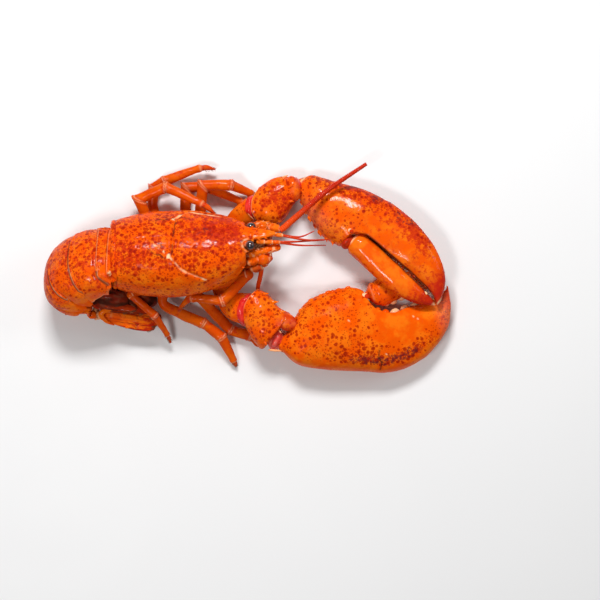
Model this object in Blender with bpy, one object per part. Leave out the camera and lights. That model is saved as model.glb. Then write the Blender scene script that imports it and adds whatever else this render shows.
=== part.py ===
"""A cooked lobster lying on its left side with its tail curled under, as solids.

Every length below is in millimetres and becomes metres when a mesh is made.
Axes: +X the way the lobster faces, +Y its left, +Z up, floor at Z = 0.
Body frame: s runs forward from the carapace's rear rim, u to the left, v to the back.
Every piece hangs on one empty, which brings the middle of the whole to the origin.
"""

from math import cos, pi, radians, sin

import bmesh
import bpy
import numpy as np
from mathutils import Euler, Matrix, Vector

MM = 0.001
GAP = 0.4  # clearance between neighbouring solids
WHOLE = "whole_lobster"
TUBE_DOME = 0.3  # how far a tube's end bulges, as a share of its radius

# Where the empty stands, so that the whole is centred over the origin.
CENTRING = Vector((-0.6, 0.6, 0.0))

# How the body lies: the middle of the carapace's rear rim, and its roll, pitch and heading.
BODY_REAR = Vector((-89.4, 9.0, 34.0))
BODY_TURN = Euler((radians(-26), radians(2.5), radians(1.5)))

# Tail: the curl is half an oval round this hub, rolled further over than the body.
TAIL_HUB = Vector((-100.3, -2.0, 31.6))
TAIL_TURN = Euler((radians(-36), 0, 0))
CURL_HUB_V = -9.0
CURL_REAR = 40.2
CURL_TOP = 33.5
CURL_BOTTOM = 23.4

SHELL = ("cooked_shell", (0.80, 0.13, 0.015), 0.3)
LEG_SHELL = ("leg_shell", (0.85, 0.20, 0.02), 0.35)
JOINT_SKIN = ("joint_skin", (0.65, 0.02, 0.015), 0.3)
HORN = ("antenna_horn", (0.50, 0.03, 0.015), 0.35)
EYE_BLACK = ("eye_black", (0.012, 0.012, 0.015), 0.12)


def clear_scene():
    for obj in list(bpy.data.objects):
        bpy.data.objects.remove(obj, do_unlink=True)


def common_empty():
    made = bpy.data.objects.new(WHOLE, None)
    bpy.context.scene.collection.objects.link(made)
    made.location = CENTRING * MM


def new_collection(name):
    found = bpy.data.collections.new(name)
    bpy.context.scene.collection.children.link(found)
    return found


def material_of(finish):
    name, colour, roughness = finish
    found = bpy.data.materials.get(name)
    if found:
        return found
    made = bpy.data.materials.new(name)
    made.use_nodes = True
    shader = made.node_tree.nodes["Principled BSDF"]
    shader.inputs["Base Color"].default_value = (*colour, 1)
    shader.inputs["Roughness"].default_value = roughness
    shader.inputs["Metallic"].default_value = 0
    return made


def frame_at(origin, heading=0.0, pitch=0.0, roll=0.0):
    """A matrix whose X axis points along heading and up by pitch, rolled about it (degrees)."""
    turn = Euler((radians(roll), radians(-pitch), radians(heading))).to_matrix().to_4x4()
    return Matrix.Translation(Vector(origin)) @ turn


BODY = Matrix.Translation(BODY_REAR) @ BODY_TURN.to_matrix().to_4x4()
TAIL = Matrix.Translation(TAIL_HUB) @ TAIL_TURN.to_matrix().to_4x4()


def on_body(s, u, v):
    return BODY @ Vector((s, u, v))


def smooth_rows(rows, steps):
    """Rows of numbers joined by a Catmull-Rom curve, with the given rows at every steps-th place."""
    rows = np.array(rows, float)
    ends = np.vstack([2 * rows[0] - rows[1], rows, 2 * rows[-1] - rows[-2]])
    found = []
    for i in range(1, len(ends) - 2):
        before, here, after, beyond = ends[i - 1 : i + 3]
        for k in range(steps):
            t = k / steps
            found.append(
                0.5
                * (
                    2 * here
                    + (after - before) * t
                    + (2 * before - 5 * here + 4 * after - beyond) * t**2
                    + (3 * here - before - 3 * after + beyond) * t**3
                )
            )
    found.append(rows[-1])
    return np.array(found)


def power_of(value, power):
    return np.sign(value) * abs(value) ** power


def oval(sides, power):
    """Points (across, up) round an oval of half size 1; a power over 2 makes it squarer."""
    turns = [2 * pi * k / sides for k in range(sides)]
    return [(power_of(cos(a), 2 / power), power_of(sin(a), 2 / power)) for a in turns]


def metres(frame):
    """The same placing with its place in metres."""
    made = frame.copy()
    made.translation = frame.translation * MM
    return made


def finished(name, data, finish, collection, frame):
    """An object with its material, placed by its frame under the common empty."""
    data.materials.append(material_of(finish))
    made = bpy.data.objects.new(name, data)
    collection.objects.link(made)
    made.parent = bpy.data.objects[WHOLE]
    made.matrix_basis = metres(frame)
    return made


def meshed(name, mesh, finish, collection, frame):
    data = bpy.data.meshes.new(name)
    mesh.to_mesh(data)
    mesh.free()
    data.shade_smooth()
    return finished(name, data, finish, collection, frame)


def loft(name, rings, finish, collection, frame, dome=0.0):
    """One closed solid through rings of points in a frame, each end closed flat or by a low dome."""
    mesh = bmesh.new()
    rings = [[Vector(p) for p in ring] for ring in rings]
    rows = [[mesh.verts.new(p * MM) for p in ring] for ring in rings]
    for one, two in zip(rows, rows[1:]):
        for k in range(len(one)):
            after = (k + 1) % len(one)
            mesh.faces.new((one[k], one[after], two[after], two[k]))
    for end, inner in ((0, 1), (-1, -2)):
        if not dome:
            mesh.faces.new(rows[end])
            continue
        centre = sum(rings[end], Vector()) / len(rings[end])
        beside = sum(rings[inner], Vector()) / len(rings[inner])
        pole = mesh.verts.new((centre + (centre - beside).normalized() * dome) * MM)
        for k in range(len(rows[end])):
            mesh.faces.new((rows[end][k], rows[end][(k + 1) % len(rows[end])], pole))
    bmesh.ops.recalc_face_normals(mesh, faces=mesh.faces[:])
    return meshed(name, mesh, finish, collection, frame)


def cut(obj, point, normal):
    """Take away what lies past a plane, given beside the common empty, and close the cut flat."""
    place = obj.matrix_basis
    mesh = bmesh.new()
    mesh.from_mesh(obj.data)
    bmesh.ops.bisect_plane(
        mesh,
        geom=mesh.verts[:] + mesh.edges[:] + mesh.faces[:],
        plane_co=place.inverted() @ (Vector(point) * MM),
        plane_no=place.to_3x3().transposed() @ Vector(normal),
        clear_outer=True,
    )
    bmesh.ops.holes_fill(mesh, edges=[e for e in mesh.edges if e.is_boundary])
    bmesh.ops.recalc_face_normals(mesh, faces=mesh.faces[:])
    mesh.to_mesh(obj.data)
    mesh.free()


def stand_on_floor(obj):
    """Give a piece that would reach under the floor a flat to rest on."""
    if min((obj.matrix_basis @ v.co).z for v in obj.data.vertices) < 0:
        cut(obj, (0, 0, 0), (0, 0, -1))


def boolean(obj, other, operation):
    modifier = obj.modifiers.new(operation.lower(), "BOOLEAN")
    modifier.operation = operation
    modifier.object = other
    other.hide_render = True
    other.display_type = "WIRE"


def shell_piece(name, frame, stations, finish, collection, sides=12, power=2.2, steps=2, dome=0.5):
    """A solid along a frame's X axis from stations (x, right, left, bottom, top)."""
    rings = []
    for x, right, left, low, high in smooth_rows(stations, steps):
        across, up = (left - right) / 2, (high - low) / 2
        middle = Vector((x, (left + right) / 2, (high + low) / 2))
        rings.append([middle + Vector((0, a * across, b * up)) for a, b in oval(sides, power)])
    return loft(name, rings, finish, collection, frame, dome)


def tube(name, points, finish, collection, sides=8, steps=2, flat=1.0):
    """A solid along points (x, y, z, radius); flat is its height over its width."""
    rows = smooth_rows(points, steps)
    start = Vector(rows[0][:3])
    rings = []
    for i, (x, y, z, radius) in enumerate(rows):
        before, after = rows[max(i - 1, 0)][:3], rows[min(i + 1, len(rows) - 1)][:3]
        along = Vector(after - before).normalized()
        side = along.cross(Vector((0, 0, 1))).normalized()
        over = side.cross(along)
        centre = Vector((x, y, z)) - start
        rings.append([centre + (side * a + over * (b * flat)) * radius for a, b in oval(sides, 2)])
    return loft(name, rings, finish, collection, Matrix.Translation(start), rows[-1][3] * TUBE_DOME)


def whip(name, points, collection):
    """A tapering antenna: a curve through points (x, y, z, radius) with filled caps."""
    rows = smooth_rows(points, 2)
    start = Vector(rows[0][:3])
    data = bpy.data.curves.new(name, "CURVE")
    data.dimensions = "3D"
    data.bevel_depth = MM
    data.bevel_resolution = 1
    data.use_fill_caps = True
    spline = data.splines.new("POLY")
    spline.points.add(len(rows) - 1)
    for point, (x, y, z, radius) in zip(spline.points, rows):
        point.co = (*((Vector((x, y, z)) - start) * MM), 1)
        point.radius = radius
    return finished(name, data, HORN, collection, Matrix.Translation(start))


def ball(name, frame, centre, radius, finish, collection, segments=10, rings=6):
    mesh = bmesh.new()
    bmesh.ops.create_uvsphere(mesh, u_segments=segments, v_segments=rings, radius=radius * MM)
    return meshed(name, mesh, finish, collection, frame @ Matrix.Translation(centre))


# ---------------------------------------------------------------- body and tail

# s, half width, top, bottom, height of the widest line
CARAPACE = (
    (-2.5, 23.0, 19.6, -12.5, 0.0),
    (5, 25.3, 21.3, -14.0, -0.5),
    (16, 28.0, 23.3, -15.5, -1.0),
    (30, 30.0, 24.4, -16.0, -2.0),
    (44, 30.0, 24.5, -15.5, -2.0),
    (57, 28.5, 24.0, -13.5, -1.0),
    (68, 26.0, 23.3, -10.5, 1.0),
    (77, 22.5, 22.6, -6.5, 4.0),
    (84, 18.5, 22.2, -2.5, 7.0),
    (89, 13.5, 21.8, 3.0, 10.5),
    (91.5, 8.0, 21.5, 10.0, 15.0),
)
ROSTRUM = (
    (80, 7.5, 22.0, 15.0, 19),
    (90, 5.5, 22.8, 17.5, 20),
    (100, 3.2, 23.2, 19.3, 21.5),
    (111.5, 0.5, 24.0, 22.8, 23.4),
)
EYE_PLACE = (91.0, 8.0, 20.5)
EYE_SOCKET_RADIUS = 5.2
EYE_RADIUS = 3.3
SIDES = ((-1, "right"), (1, "left"))
# The breast plate: its half width at each s, and its lowest line, which rises forwards.
BREAST = ((12, 6), (20, 9), (34, 10.5), (50, 12), (64, 12.5), (76, 9))
BREAST_FLOOR = -22.5
BREAST_RISE = 0.06


def body_section(row, sides, top_power, low_power):
    """A ring across the body: a round back over a squarer underside."""
    s, half_width, top, bottom, middle = row
    ring = []
    for k in range(sides):
        turn = 2 * pi * k / sides
        rising = sin(turn) >= 0
        power = top_power if rising else low_power
        height = (top - middle) if rising else (middle - bottom)
        u = half_width * power_of(cos(turn), 2 / power)
        ring.append((s, u, middle + height * power_of(sin(turn), 2 / power)))
    return ring


def carapace(parts, cutters):
    rings = [body_section(row, 24, 2.25, 3.6) for row in smooth_rows(CARAPACE, 2)]
    shell = loft("carapace", rings, SHELL, parts, BODY, 0.3)
    rings = [body_section(row, 8, 2.0, 2.0) for row in smooth_rows(ROSTRUM, 2)]
    boolean(shell, loft("rostrum", rings, SHELL, cutters, BODY, 0.6), "UNION")
    for side in (-1, 1):
        s, u, v = EYE_PLACE
        socket = ball("eye_socket", BODY, (s, side * u, v), EYE_SOCKET_RADIUS, SHELL, cutters)
        boolean(shell, socket, "DIFFERENCE")


def sternum(parts):
    """The narrow breast plate under the carapace, where the legs are hinged."""
    rows = []
    for s, half_width in BREAST:
        under = np.interp(s, [row[0] for row in CARAPACE], [row[3] for row in CARAPACE])
        rows.append((s, -half_width, half_width, BREAST_FLOOR + BREAST_RISE * s, under - 1.0))
    shell_piece("sternum", BODY, rows, SHELL, parts, sides=10, power=2.8, steps=1)


def eyes(parts):
    for side, word in SIDES:
        s, u, v = EYE_PLACE
        ball("eye_" + word, BODY, (s, side * u, v), EYE_RADIUS, EYE_BLACK, parts)


RING_SWELL = 0.04  # how much narrower a ring is at its ends
LOBE_ROUND = 3.0  # how much shorter a side lobe is at its ends
# The first ring of the tail runs straight back: its front, rear, half width, meat, reach and shift.
FIRST_RING = (6.3, 0.4, 21.5, 26, 9.0, 3.0)
# Each later ring: its angles round the curl's oval, half width, thickness of its meat,
# reach of its side lobes towards the hub, and how far it sits to the left.
TAIL_RINGS = (
    (90.6, 120, 26.0, 27, 2.5, 0.8),
    (120.8, 155, 25.8, 27, 4.0, -0.7),
    (155.8, 188, 26.8, 27, 5.0, -1.2),
    (188.8, 221, 26.4, 20, 5.0, -2.6),
    (221.8, 254, 24.0, 14, 4.5, -3.4),
)


def curl_radius(turn):
    """Distance from the curl's hub to the back of the tail, and the direction, at an oval angle."""
    height = CURL_TOP if sin(turn) >= 0 else CURL_BOTTOM
    out = Vector((CURL_REAR * cos(turn), 0, height * sin(turn)))
    return out.length, out.normalized()


def tail_section(turn, half_width, meat, reach, shift, forward=0.0):
    """A ring of points across the tail: a round back, two side lobes and a hollow belly."""
    radius, out = curl_radius(turn)
    shoulder = radius * 0.42 + reach * 0.3
    belly = max(radius - meat, reach + 1.5)
    arch = [(power_of(cos(a), 2 / 2.3), power_of(sin(a), 2 / 2.3)) for a in np.linspace(0, pi, 9)]
    outline = [(half_width * c, shoulder + (radius - shoulder) * d) for c, d in arch]
    under = [(1.0, reach), (0.86, reach + 0.4), (0.72, belly)]
    outline += [(-half_width * share, height) for share, height in under]
    outline += [(half_width * share, height) for share, height in reversed(under)]
    hub = Vector((forward, shift, CURL_HUB_V))
    return [hub + Vector((0, u, 0)) + out * w for u, w in outline]


def tail_rings(parts):
    front, rear, *shape = FIRST_RING
    rings = [tail_section(pi / 2, *shape, forward) for forward in (front, rear)]
    loft("abdomen_1", rings, SHELL, parts, TAIL)
    for number, (start, end, half_width, meat, reach, shift) in enumerate(TAIL_RINGS, 2):
        rings = []
        for share in np.linspace(0, 1, 5):
            edge = (2 * share - 1) ** 2
            width = half_width * (1 - RING_SWELL * edge)
            turn = radians(start + (end - start) * share)
            rings.append(tail_section(turn, width, meat, reach + LOBE_ROUND * edge, shift))
        stand_on_floor(loft(f"abdomen_{number}", rings, SHELL, parts, TAIL))


# The plates of the tail fan: name, origin, heading, pitch, roll, length and half width.
FAN = (
    ("telson", (-106, -14, 10.5), 2, 0, -22, 36, 10.5),
    ("uropod_right_inner", (-102, -31.2, 18.0), -5, 0, -10, 38.5, 6.5),
    ("uropod_right_outer", (-101, -36.2, 15.4), -6, 0, 12, 38, 5.8),
    ("uropod_left_inner", (-103, 4.4, 3.9), -2, 0, -8, 38, 7.5),
    ("uropod_left_outer", (-102, 17.5, 0.9), 2, 0, 0, 40, 8.0),
)
PLATE_THICKNESS = 2.2
# A plate's half width along its length, each as a share.
PLATE_OUTLINE = ((0, 0.42), (0.12, 0.72), (0.35, 0.92), (0.65, 1.0), (0.88, 0.86), (1, 0.5))


def tail_fan(parts):
    for name, origin, heading, pitch, roll, length, half_width in FAN:
        rows = []
        for share, width in PLATE_OUTLINE:
            thick = PLATE_THICKNESS * (1 - 0.35 * share) / 2
            rows.append((length * share, -half_width * width, half_width * width, -thick, thick))
        frame = frame_at(origin, heading, pitch, roll)
        plate = shell_piece(name, frame, rows, SHELL, parts, sides=8, power=2.6, steps=1, dome=1.0)
        stand_on_floor(plate)


# ---------------------------------------------------------------- head

ANTENNA_RIGHT = (
    (9.6, -3.0, 31, 1.5),
    (8.4, -8.5, 25, 1.5),
    (7.2, -12.6, 16, 1.4),
    (7.4, -17.5, 7, 1.4),
    (11, -26, 2.9, 1.4),
    (18, -37, 1.6, 1.3),
)
ANTENNA_LEFT = (
    (24.5, 27.5, 42, 2.1),
    (36.3, 36.8, 43.5, 1.8),
    (56.7, 53.9, 43.5, 1.55),
    (82, 70.5, 40, 1.2),
)
# Stations of each antenna's base: s, v and radius, and how far out each side's base lies.
ANTENNA_BASE = ((94, 8.5, 4.2), (99, 10, 4.2), (106, 11.5, 3.2), (111, 12.5, 2.4))
BASE_OUT = {"right": 8.5, "left": 11.5}
MAXILLIPED = ((78, -13, 3.4), (90, -10, 3.8), (99, -3, 3.3), (104, 2, 2.2))
MAXILLIPED_OUT = 5.5
# Each antennule's root, and the middle and tip of its two threads.
ANTENNULES = {
    "left": ((24, 21.5, 47.5), ((36, 20.5, 46.5), (46, 24.5, 45)), ((40, 18.5, 47), (56.5, 18.8, 46))),
    "right": ((22, 14.5, 46.5), ((36, 13.5, 44.5), (53, 14, 41)), ((37, 16, 45.5), (50, 16.4, 43.6))),
}
THREAD_RADII = (1.1, 0.75, 0.5)


def thread(name, points, collection):
    rows = [(*point, radius) for point, radius in zip(points, THREAD_RADII)]
    return tube(name, rows, HORN, collection, sides=5)


def head(parts, cutters):
    for side, word in SIDES:
        base = [(*on_body(s, side * BASE_OUT[word], v), r) for s, v, r in ANTENNA_BASE]
        tube("antenna_base_" + word, base, SHELL, parts, flat=0.8)
        mouth = [(*on_body(s, side * MAXILLIPED_OUT, v), r) for s, v, r in MAXILLIPED]
        tube("maxilliped_" + word, mouth, LEG_SHELL, parts)
    whip("antenna_right", ANTENNA_RIGHT, parts)
    whip("antenna_left", ANTENNA_LEFT, parts)
    for word, (root, outer, inner) in ANTENNULES.items():
        joined = thread("antennule_" + word, (root, *outer), parts)
        boolean(joined, thread("thread_" + word, (root, *inner), cutters), "UNION")


# ---------------------------------------------------------------- claws

SEIZER = frame_at((35.6, 55.1, 9.5), heading=-40.3, pitch=9.2)
CRUSHER = frame_at((24.5, -48.0, 17.3), heading=17.8, pitch=-3.0)

# x, right edge, left edge, bottom, top
SEIZER_PALM = (
    (-2.5, -1.5, 8.0, -5, 6),
    (1, -3.5, 13.5, -9, 9),
    (7, -6.0, 16.5, -11.5, 11),
    (15, -9.5, 19.7, -13, 12.5),
    (25, -12.5, 24.5, -14, 13.5),
    (35, -14.5, 28.7, -14, 14),
    (44, -13.5, 31.2, -13.5, 14),
    (48, -12.0, 32.2, -13, 13.5),
    (50.5, -1.0, 32.6, -12.5, 13),
    (57, 3.2, 33.8, -11.5, 12),
    (66, 5.0, 34.3, -10, 10.5),
    (80, 3.3, 33.8, -8.5, 8.8),
    (94, 2.6, 31.2, -7.3, 7.3),
    (105, 1.9, 27.0, -8.0, 4.6),
    (114, 2.0, 21.8, -8.8, 2.2),
    (121, 1.7, 14.5, -9.6, -0.8),
    (125.5, 0.2, 5.0, -9.2, -4.2),
)
SEIZER_THUMB = (
    (51.5, -9.0, -3.2, -5, 5),
    (55, -10.2, 0.6, -7, 7.5),
    (61, -10.7, 2.6, -7.2, 8.0),
    (72, -11.4, 0.0, -6.0, 7.2),
    (84, -12.9, -1.0, -5.4, 6.4),
    (94, -13.0, -1.7, -5.0, 5.4),
    (104, -11.8, -1.9, -6.2, 3.2),
    (113, -9.0, -1.7, -7.8, 0.6),
    (120, -5.0, -0.9, -9.2, -3.2),
    (124, -1.5, -0.2, -9.4, -6.4),
)
CRUSHER_PALM = (
    (-3, -10.5, -2.5, -6, 6),
    (0, -16.5, 1.0, -10, 9),
    (5, -22.5, 3.6, -13, 12),
    (14, -27.6, 11.8, -15, 14.5),
    (23, -31.6, 18.0, -16.5, 15.5),
    (36, -36.6, 20.4, -17.5, 16.5),
    (50, -41.8, 20.0, -17.5, 16),
    (58, -45.0, 17.6, -16.5, 15),
    (62, -45.8, 13.5, -16, 14.5),
    (64.5, -46.3, 2.5, -15.5, 14),
    (70, -46.8, -3.2, -14.5, 13),
    (78, -46.8, -7.2, -13.5, 11.8),
    (90, -44.0, -6.8, -12, 10),
    (100, -38.8, -7.6, -11, 8),
    (108, -32.8, -7.0, -10, 6),
    (114, -26.0, -5.0, -9, 4.4),
    (118.5, -15.0, -3.5, -7.5, 2.4),
    (120, -5.0, -1.5, -5, 0),
)
CRUSHER_THUMB = (
    (64.8, 7.0, 12.5, -7, 3),
    (68, 2.8, 16.2, -10, 6),
    (74, -1.0, 18.6, -11, 6.6),
    (83, 0.0, 19.2, -10.6, 6.0),
    (92, 1.2, 18.0, -9.8, 4.8),
    (102, 1.2, 14.6, -8.8, 3.0),
    (110, 0.6, 9.8, -7.5, 1.2),
    (116.5, 0.5, 3.6, -5.5, -1.5),
)
# From the elbow joint to the wrist joint.
LEFT_CARPUS = frame_at((1.6, 41.6, 13.6), heading=22)
LEFT_CARPUS_ROWS = (
    (0.8, -7.0, 6.0, -6, 7),
    (4, -12.5, 8.6, -9, 10),
    (9, -14.6, 10.2, -10.5, 12),
    (15, -14.6, 12.2, -11, 12.5),
    (22, -12.8, 13.4, -11, 12.5),
    (28, -9.8, 12.6, -10, 11.5),
    (33, -6.6, 10.0, -8, 9.5),
)
RIGHT_CARPUS = frame_at((-3, -29.5, 18.3), heading=-31.4)
RIGHT_CARPUS_ROWS = (
    (-0.8, 8.0, 16.0, -6, 6),
    (2, 2.0, 18.2, -9.5, 9),
    (6, -7.0, 18.8, -11, 11),
    (12, -12.0, 17.6, -12.5, 12.5),
    (19, -15.2, 15.0, -12.5, 13),
    (24, -16.6, 14.6, -12, 12.5),
    (26.5, -13.0, 15.0, -11.5, 12),
    (28.5, 4.0, 15.0, -9, 11),
    (32, 8.5, 12.6, -4, 7),
)


def claws(parts):
    stand_on_floor(shell_piece("propodus_left", SEIZER, SEIZER_PALM, SHELL, parts, sides=14))
    shell_piece("dactyl_left", SEIZER, SEIZER_THUMB, SHELL, parts, sides=10)
    stand_on_floor(shell_piece("propodus_right", CRUSHER, CRUSHER_PALM, SHELL, parts, sides=14))
    shell_piece("dactyl_right", CRUSHER, CRUSHER_THUMB, SHELL, parts, sides=10)
    shell_piece("carpus_left", LEFT_CARPUS, LEFT_CARPUS_ROWS, SHELL, parts, sides=14)
    shell_piece("carpus_right", RIGHT_CARPUS, RIGHT_CARPUS_ROWS, SHELL, parts, sides=14)


# The upper arms, from the breast to past the elbow: points with their radius.
LEFT_MERUS = ((-22, 17.5, 7.0, 4.0), (-13, 27.5, 8.5, 5.6), (-6, 35.5, 11.5, 7.4), (4, 42.0, 14.5, 8.6))
RIGHT_MERUS = ((-22, -12, 12.5, 4.2), (-16, -20, 15, 7.0), (-9, -26, 17.2, 10.0), (3, -29.5, 18.4, 11.4))
# Each elbow: a point on its plane, the plane's heading, and the skin's half width and half height.
LEFT_ELBOW = ((3.4, 42.2, 14.6), 2, 7.8, 6.2)
RIGHT_ELBOW = ((0.4, -29.2, 18.4), -11, 11.0, 7.8)
SKIN_THICKNESS = 2.4
ARM_FLATNESS = 0.72


def elbow(word, points, place, parts):
    """The upper arm and the band of soft skin between it and the next joint."""
    point, heading, half_width, half_height = place
    frame = frame_at(point, heading)
    merus = tube("merus_" + word, points, SHELL, parts, sides=12, flat=ARM_FLATNESS)
    facing = frame.to_3x3() @ Vector((1, 0, 0))
    cut(merus, frame @ Vector((-SKIN_THICKNESS - GAP, 0, 0)), facing)
    size = (-half_width, half_width, -half_height, half_height)
    band = ((-SKIN_THICKNESS, *size), (-GAP, *size))
    shell_piece("elbow_skin_" + word, frame, band, JOINT_SKIN, parts, sides=14, steps=1, dome=0.0)


# The soft skin in the notch of the right wrist, along the notch.
WRIST_NOTCH = frame_at((21.4, -44.6, 17), heading=-112)
WRIST_SKIN = (
    (0, -0.5, 0.6, -5, 5),
    (4, -1.0, 1.0, -7, 7),
    (8, -1.6, 1.8, -7, 7),
    (11, -2.0, 2.0, -4, 4),
)


def arms(parts):
    elbow("left", LEFT_MERUS, LEFT_ELBOW, parts)
    elbow("right", RIGHT_MERUS, RIGHT_ELBOW, parts)
    for name, place in (("carpus_left", LEFT_ELBOW), ("carpus_right", RIGHT_ELBOW)):
        point, heading = place[:2]
        facing = frame_at(point, heading).to_3x3() @ Vector((-1, 0, 0))
        cut(bpy.data.objects[name], point, facing)
    shell_piece("wrist_skin_right", WRIST_NOTCH, WRIST_SKIN, JOINT_SKIN, parts, sides=10, steps=1)


# ---------------------------------------------------------------- walking legs

# Each leg from the breast: the points of its upper leg, the last of them its knee, and then
# its wrist, ankle and tip.
LEGS = {
    "left_2": (
        ((-35.5, 14.4, 10), (-34.5, 27, 4.4), (-33.4, 40, 9), (-31.2, 57.7, 15.8)),
        ((-11.7, 57.7, 16), (2, 52.4, 5), (8, 50, 1.8)),
    ),
    "left_3": (
        ((-43.6, 13.6, 9.6), (-44.5, 27, 4.4), (-44.2, 40, 5.6), (-43.4, 56.7, 7.6)),
        ((-30.1, 57.2, 7.4), (-5, 46.8, 4.2), (3, 43.5, 1.8)),
    ),
    "left_4": (
        ((-53.6, 13.2, 9), (-60, 27, 4.2), (-67, 42, 3.6), (-66, 56.5, 6)),
        ((-58, 61, 8.5), (-33.5, 69.9, 9), (-23.1, 69.3, 8)),
    ),
    "left_5": (
        ((-63.6, 13.2, 9.2), (-69, 27, 4.4), (-72.5, 39, 11.5), (-75.8, 48, 16)),
        ((-56.7, 56.1, 19), (-31.4, 44, 24), (-22.4, 37.1, 25.5)),
    ),
    "right_2": (
        ((-34.5, -12.6, 21.5), (-17, -10.5, 23), (0.5, -4.8, 28)),
        ((-17.3, -23, 31.5), (-38.7, -21.5, 29), (-47.9, -30, 24)),
    ),
    "right_3": (
        ((-43.6, -9.8, 20), (-29.8, -24.4, 13), (-12.6, -43.4, 6.4)),
        ((1.3, -47.5, 4.2), (6, -51, 3), (11, -55, 1.8)),
    ),
    "right_4": (
        ((-53.6, -9.8, 20.5), (-59, -23.7, 19), (-47.3, -31.4, 16.5), (-31, -38.5, 13.5)),
        ((-18.4, -48.4, 11.2), (-10.5, -64.5, 4.6), (-8.4, -69, 2.8)),
    ),
    "right_5": (
        ((-63.6, -10, 21.5), (-82.4, -17.5, 26.5)),
        ((-63.4, -35.5, 24.5), (-56.4, -47, 12), (-54.4, -52, 7.6)),
    ),
}
UPPER_RADIUS = 3.0
LOWER_RADIUS = 2.9
TIP_RADIUS = 0.7
UPPER_TAPER = (0.85, 0.95, 1.1, 1.15)
OVERSHOOT = 3.6  # how far a stretch of leg runs past a bend before it is cut there


def bone(name, points, radii, start, end, parts, steps=2):
    """One stretch of a leg, cut square to the bend at its ends so that the next one fits."""
    rows = [(*point, radius) for point, radius in zip(points, radii)]
    piece = tube(name, rows, LEG_SHELL, parts, sides=8, steps=steps)
    for point, facing in (start, end):
        if facing is not None:
            cut(piece, Vector(point) - facing * GAP / 2, facing)


def leg(word, upper, lower, parts):
    knee, wrist, ankle, tip = (Vector(p) for p in (upper[-1], *lower))
    thigh = (knee - Vector(upper[-2])).normalized()
    shin = (wrist - knee).normalized()
    foot = (ankle - wrist).normalized()
    knee_plane = (thigh + shin).normalized()
    wrist_plane = (shin + foot).normalized()
    radii = [UPPER_RADIUS * taper for taper in UPPER_TAPER[-len(upper) :]]
    points = [*upper, knee + thigh * OVERSHOOT]
    bone(f"leg_{word}_merus", points, [*radii, radii[-1]], (None, None), (knee, knee_plane), parts)
    points = [knee - shin * OVERSHOOT, knee, wrist, wrist + shin * OVERSHOOT]
    radii = [LOWER_RADIUS * taper for taper in (0.9, 1.0, 1.1, 1.1)]
    ends = ((knee, -knee_plane), (wrist, wrist_plane))
    bone(f"leg_{word}_carpus", points, radii, *ends, parts, steps=1)
    points = [wrist - foot * OVERSHOOT, wrist, ankle, tip]
    radii = [LOWER_RADIUS, LOWER_RADIUS, LOWER_RADIUS * 0.7, TIP_RADIUS]
    bone(f"leg_{word}_foot", points, radii, (wrist, -wrist_plane), (None, None), parts)


def legs(parts):
    for word, (upper, lower) in LEGS.items():
        leg(word, upper, lower, parts)


clear_scene()
common_empty()
PARTS = new_collection("cooked_lobster")
CUTTERS = new_collection("cutters")
carapace(PARTS, CUTTERS)
sternum(PARTS)
eyes(PARTS)
tail_rings(PARTS)
tail_fan(PARTS)
head(PARTS, CUTTERS)
claws(PARTS)
arms(PARTS)
legs(PARTS)
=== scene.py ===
"""The looks of a cooked lobster that lies on its left side with its tail curled under it.

Lengths are in millimetres and become metres when a mesh is made.
Axes: +X the way the lobster faces, +Y its left, +Z up, floor at Z = 0.
Body frame: s runs forward from the carapace's rear rim, u to the left, v to the back.
A skin is a grid of points: rings follow each other along a piece, and each ring's points
run round it. Paint is one number for each point, which the finishes read as an attribute.
"""

from itertools import product
from math import cos, pi, radians, sin

import bpy
import numpy as np
from mathutils import Euler, Matrix, Vector


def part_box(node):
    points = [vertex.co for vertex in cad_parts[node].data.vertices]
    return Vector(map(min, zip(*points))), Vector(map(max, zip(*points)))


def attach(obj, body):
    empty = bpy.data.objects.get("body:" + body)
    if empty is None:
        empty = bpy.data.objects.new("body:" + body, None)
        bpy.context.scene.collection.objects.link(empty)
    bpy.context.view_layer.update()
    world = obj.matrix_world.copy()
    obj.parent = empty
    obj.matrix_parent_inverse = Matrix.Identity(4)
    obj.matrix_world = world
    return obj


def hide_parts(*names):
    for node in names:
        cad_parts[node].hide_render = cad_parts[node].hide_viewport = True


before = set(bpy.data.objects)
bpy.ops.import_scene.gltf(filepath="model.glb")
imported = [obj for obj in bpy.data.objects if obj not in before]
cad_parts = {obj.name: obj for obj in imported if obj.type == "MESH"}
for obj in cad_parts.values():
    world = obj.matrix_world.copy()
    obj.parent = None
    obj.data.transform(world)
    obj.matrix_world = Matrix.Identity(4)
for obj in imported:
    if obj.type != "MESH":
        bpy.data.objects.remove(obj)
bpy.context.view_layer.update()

MM = 0.001
CENTRING = np.array((-0.6, 0.6, 0))  # from the middle of the design to the middle of the whole
PROUD = 14  # how far a detailed piece may stand out of the solids that it stands for
HERE = Matrix()
SIDES = ((-1, "right"), (1, "left"))


# ---------------- numbers


def power_of(value, power):
    return np.sign(value) * np.abs(value) ** power


def rise(value, low, high):
    """0 up to low, 1 from high on, and a smooth slope between; high may be the lower one."""
    share = np.clip((np.asarray(value, float) - low) / (high - low), 0, 1)
    return share * share * (3 - 2 * share)


def fall(value, low, high):
    return 1 - rise(value, low, high)


def hump(value, centre, width):
    """1 at the centre, falling off smoothly to both sides."""
    return np.exp(-(((np.asarray(value, float) - centre) / width) ** 2))


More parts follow.
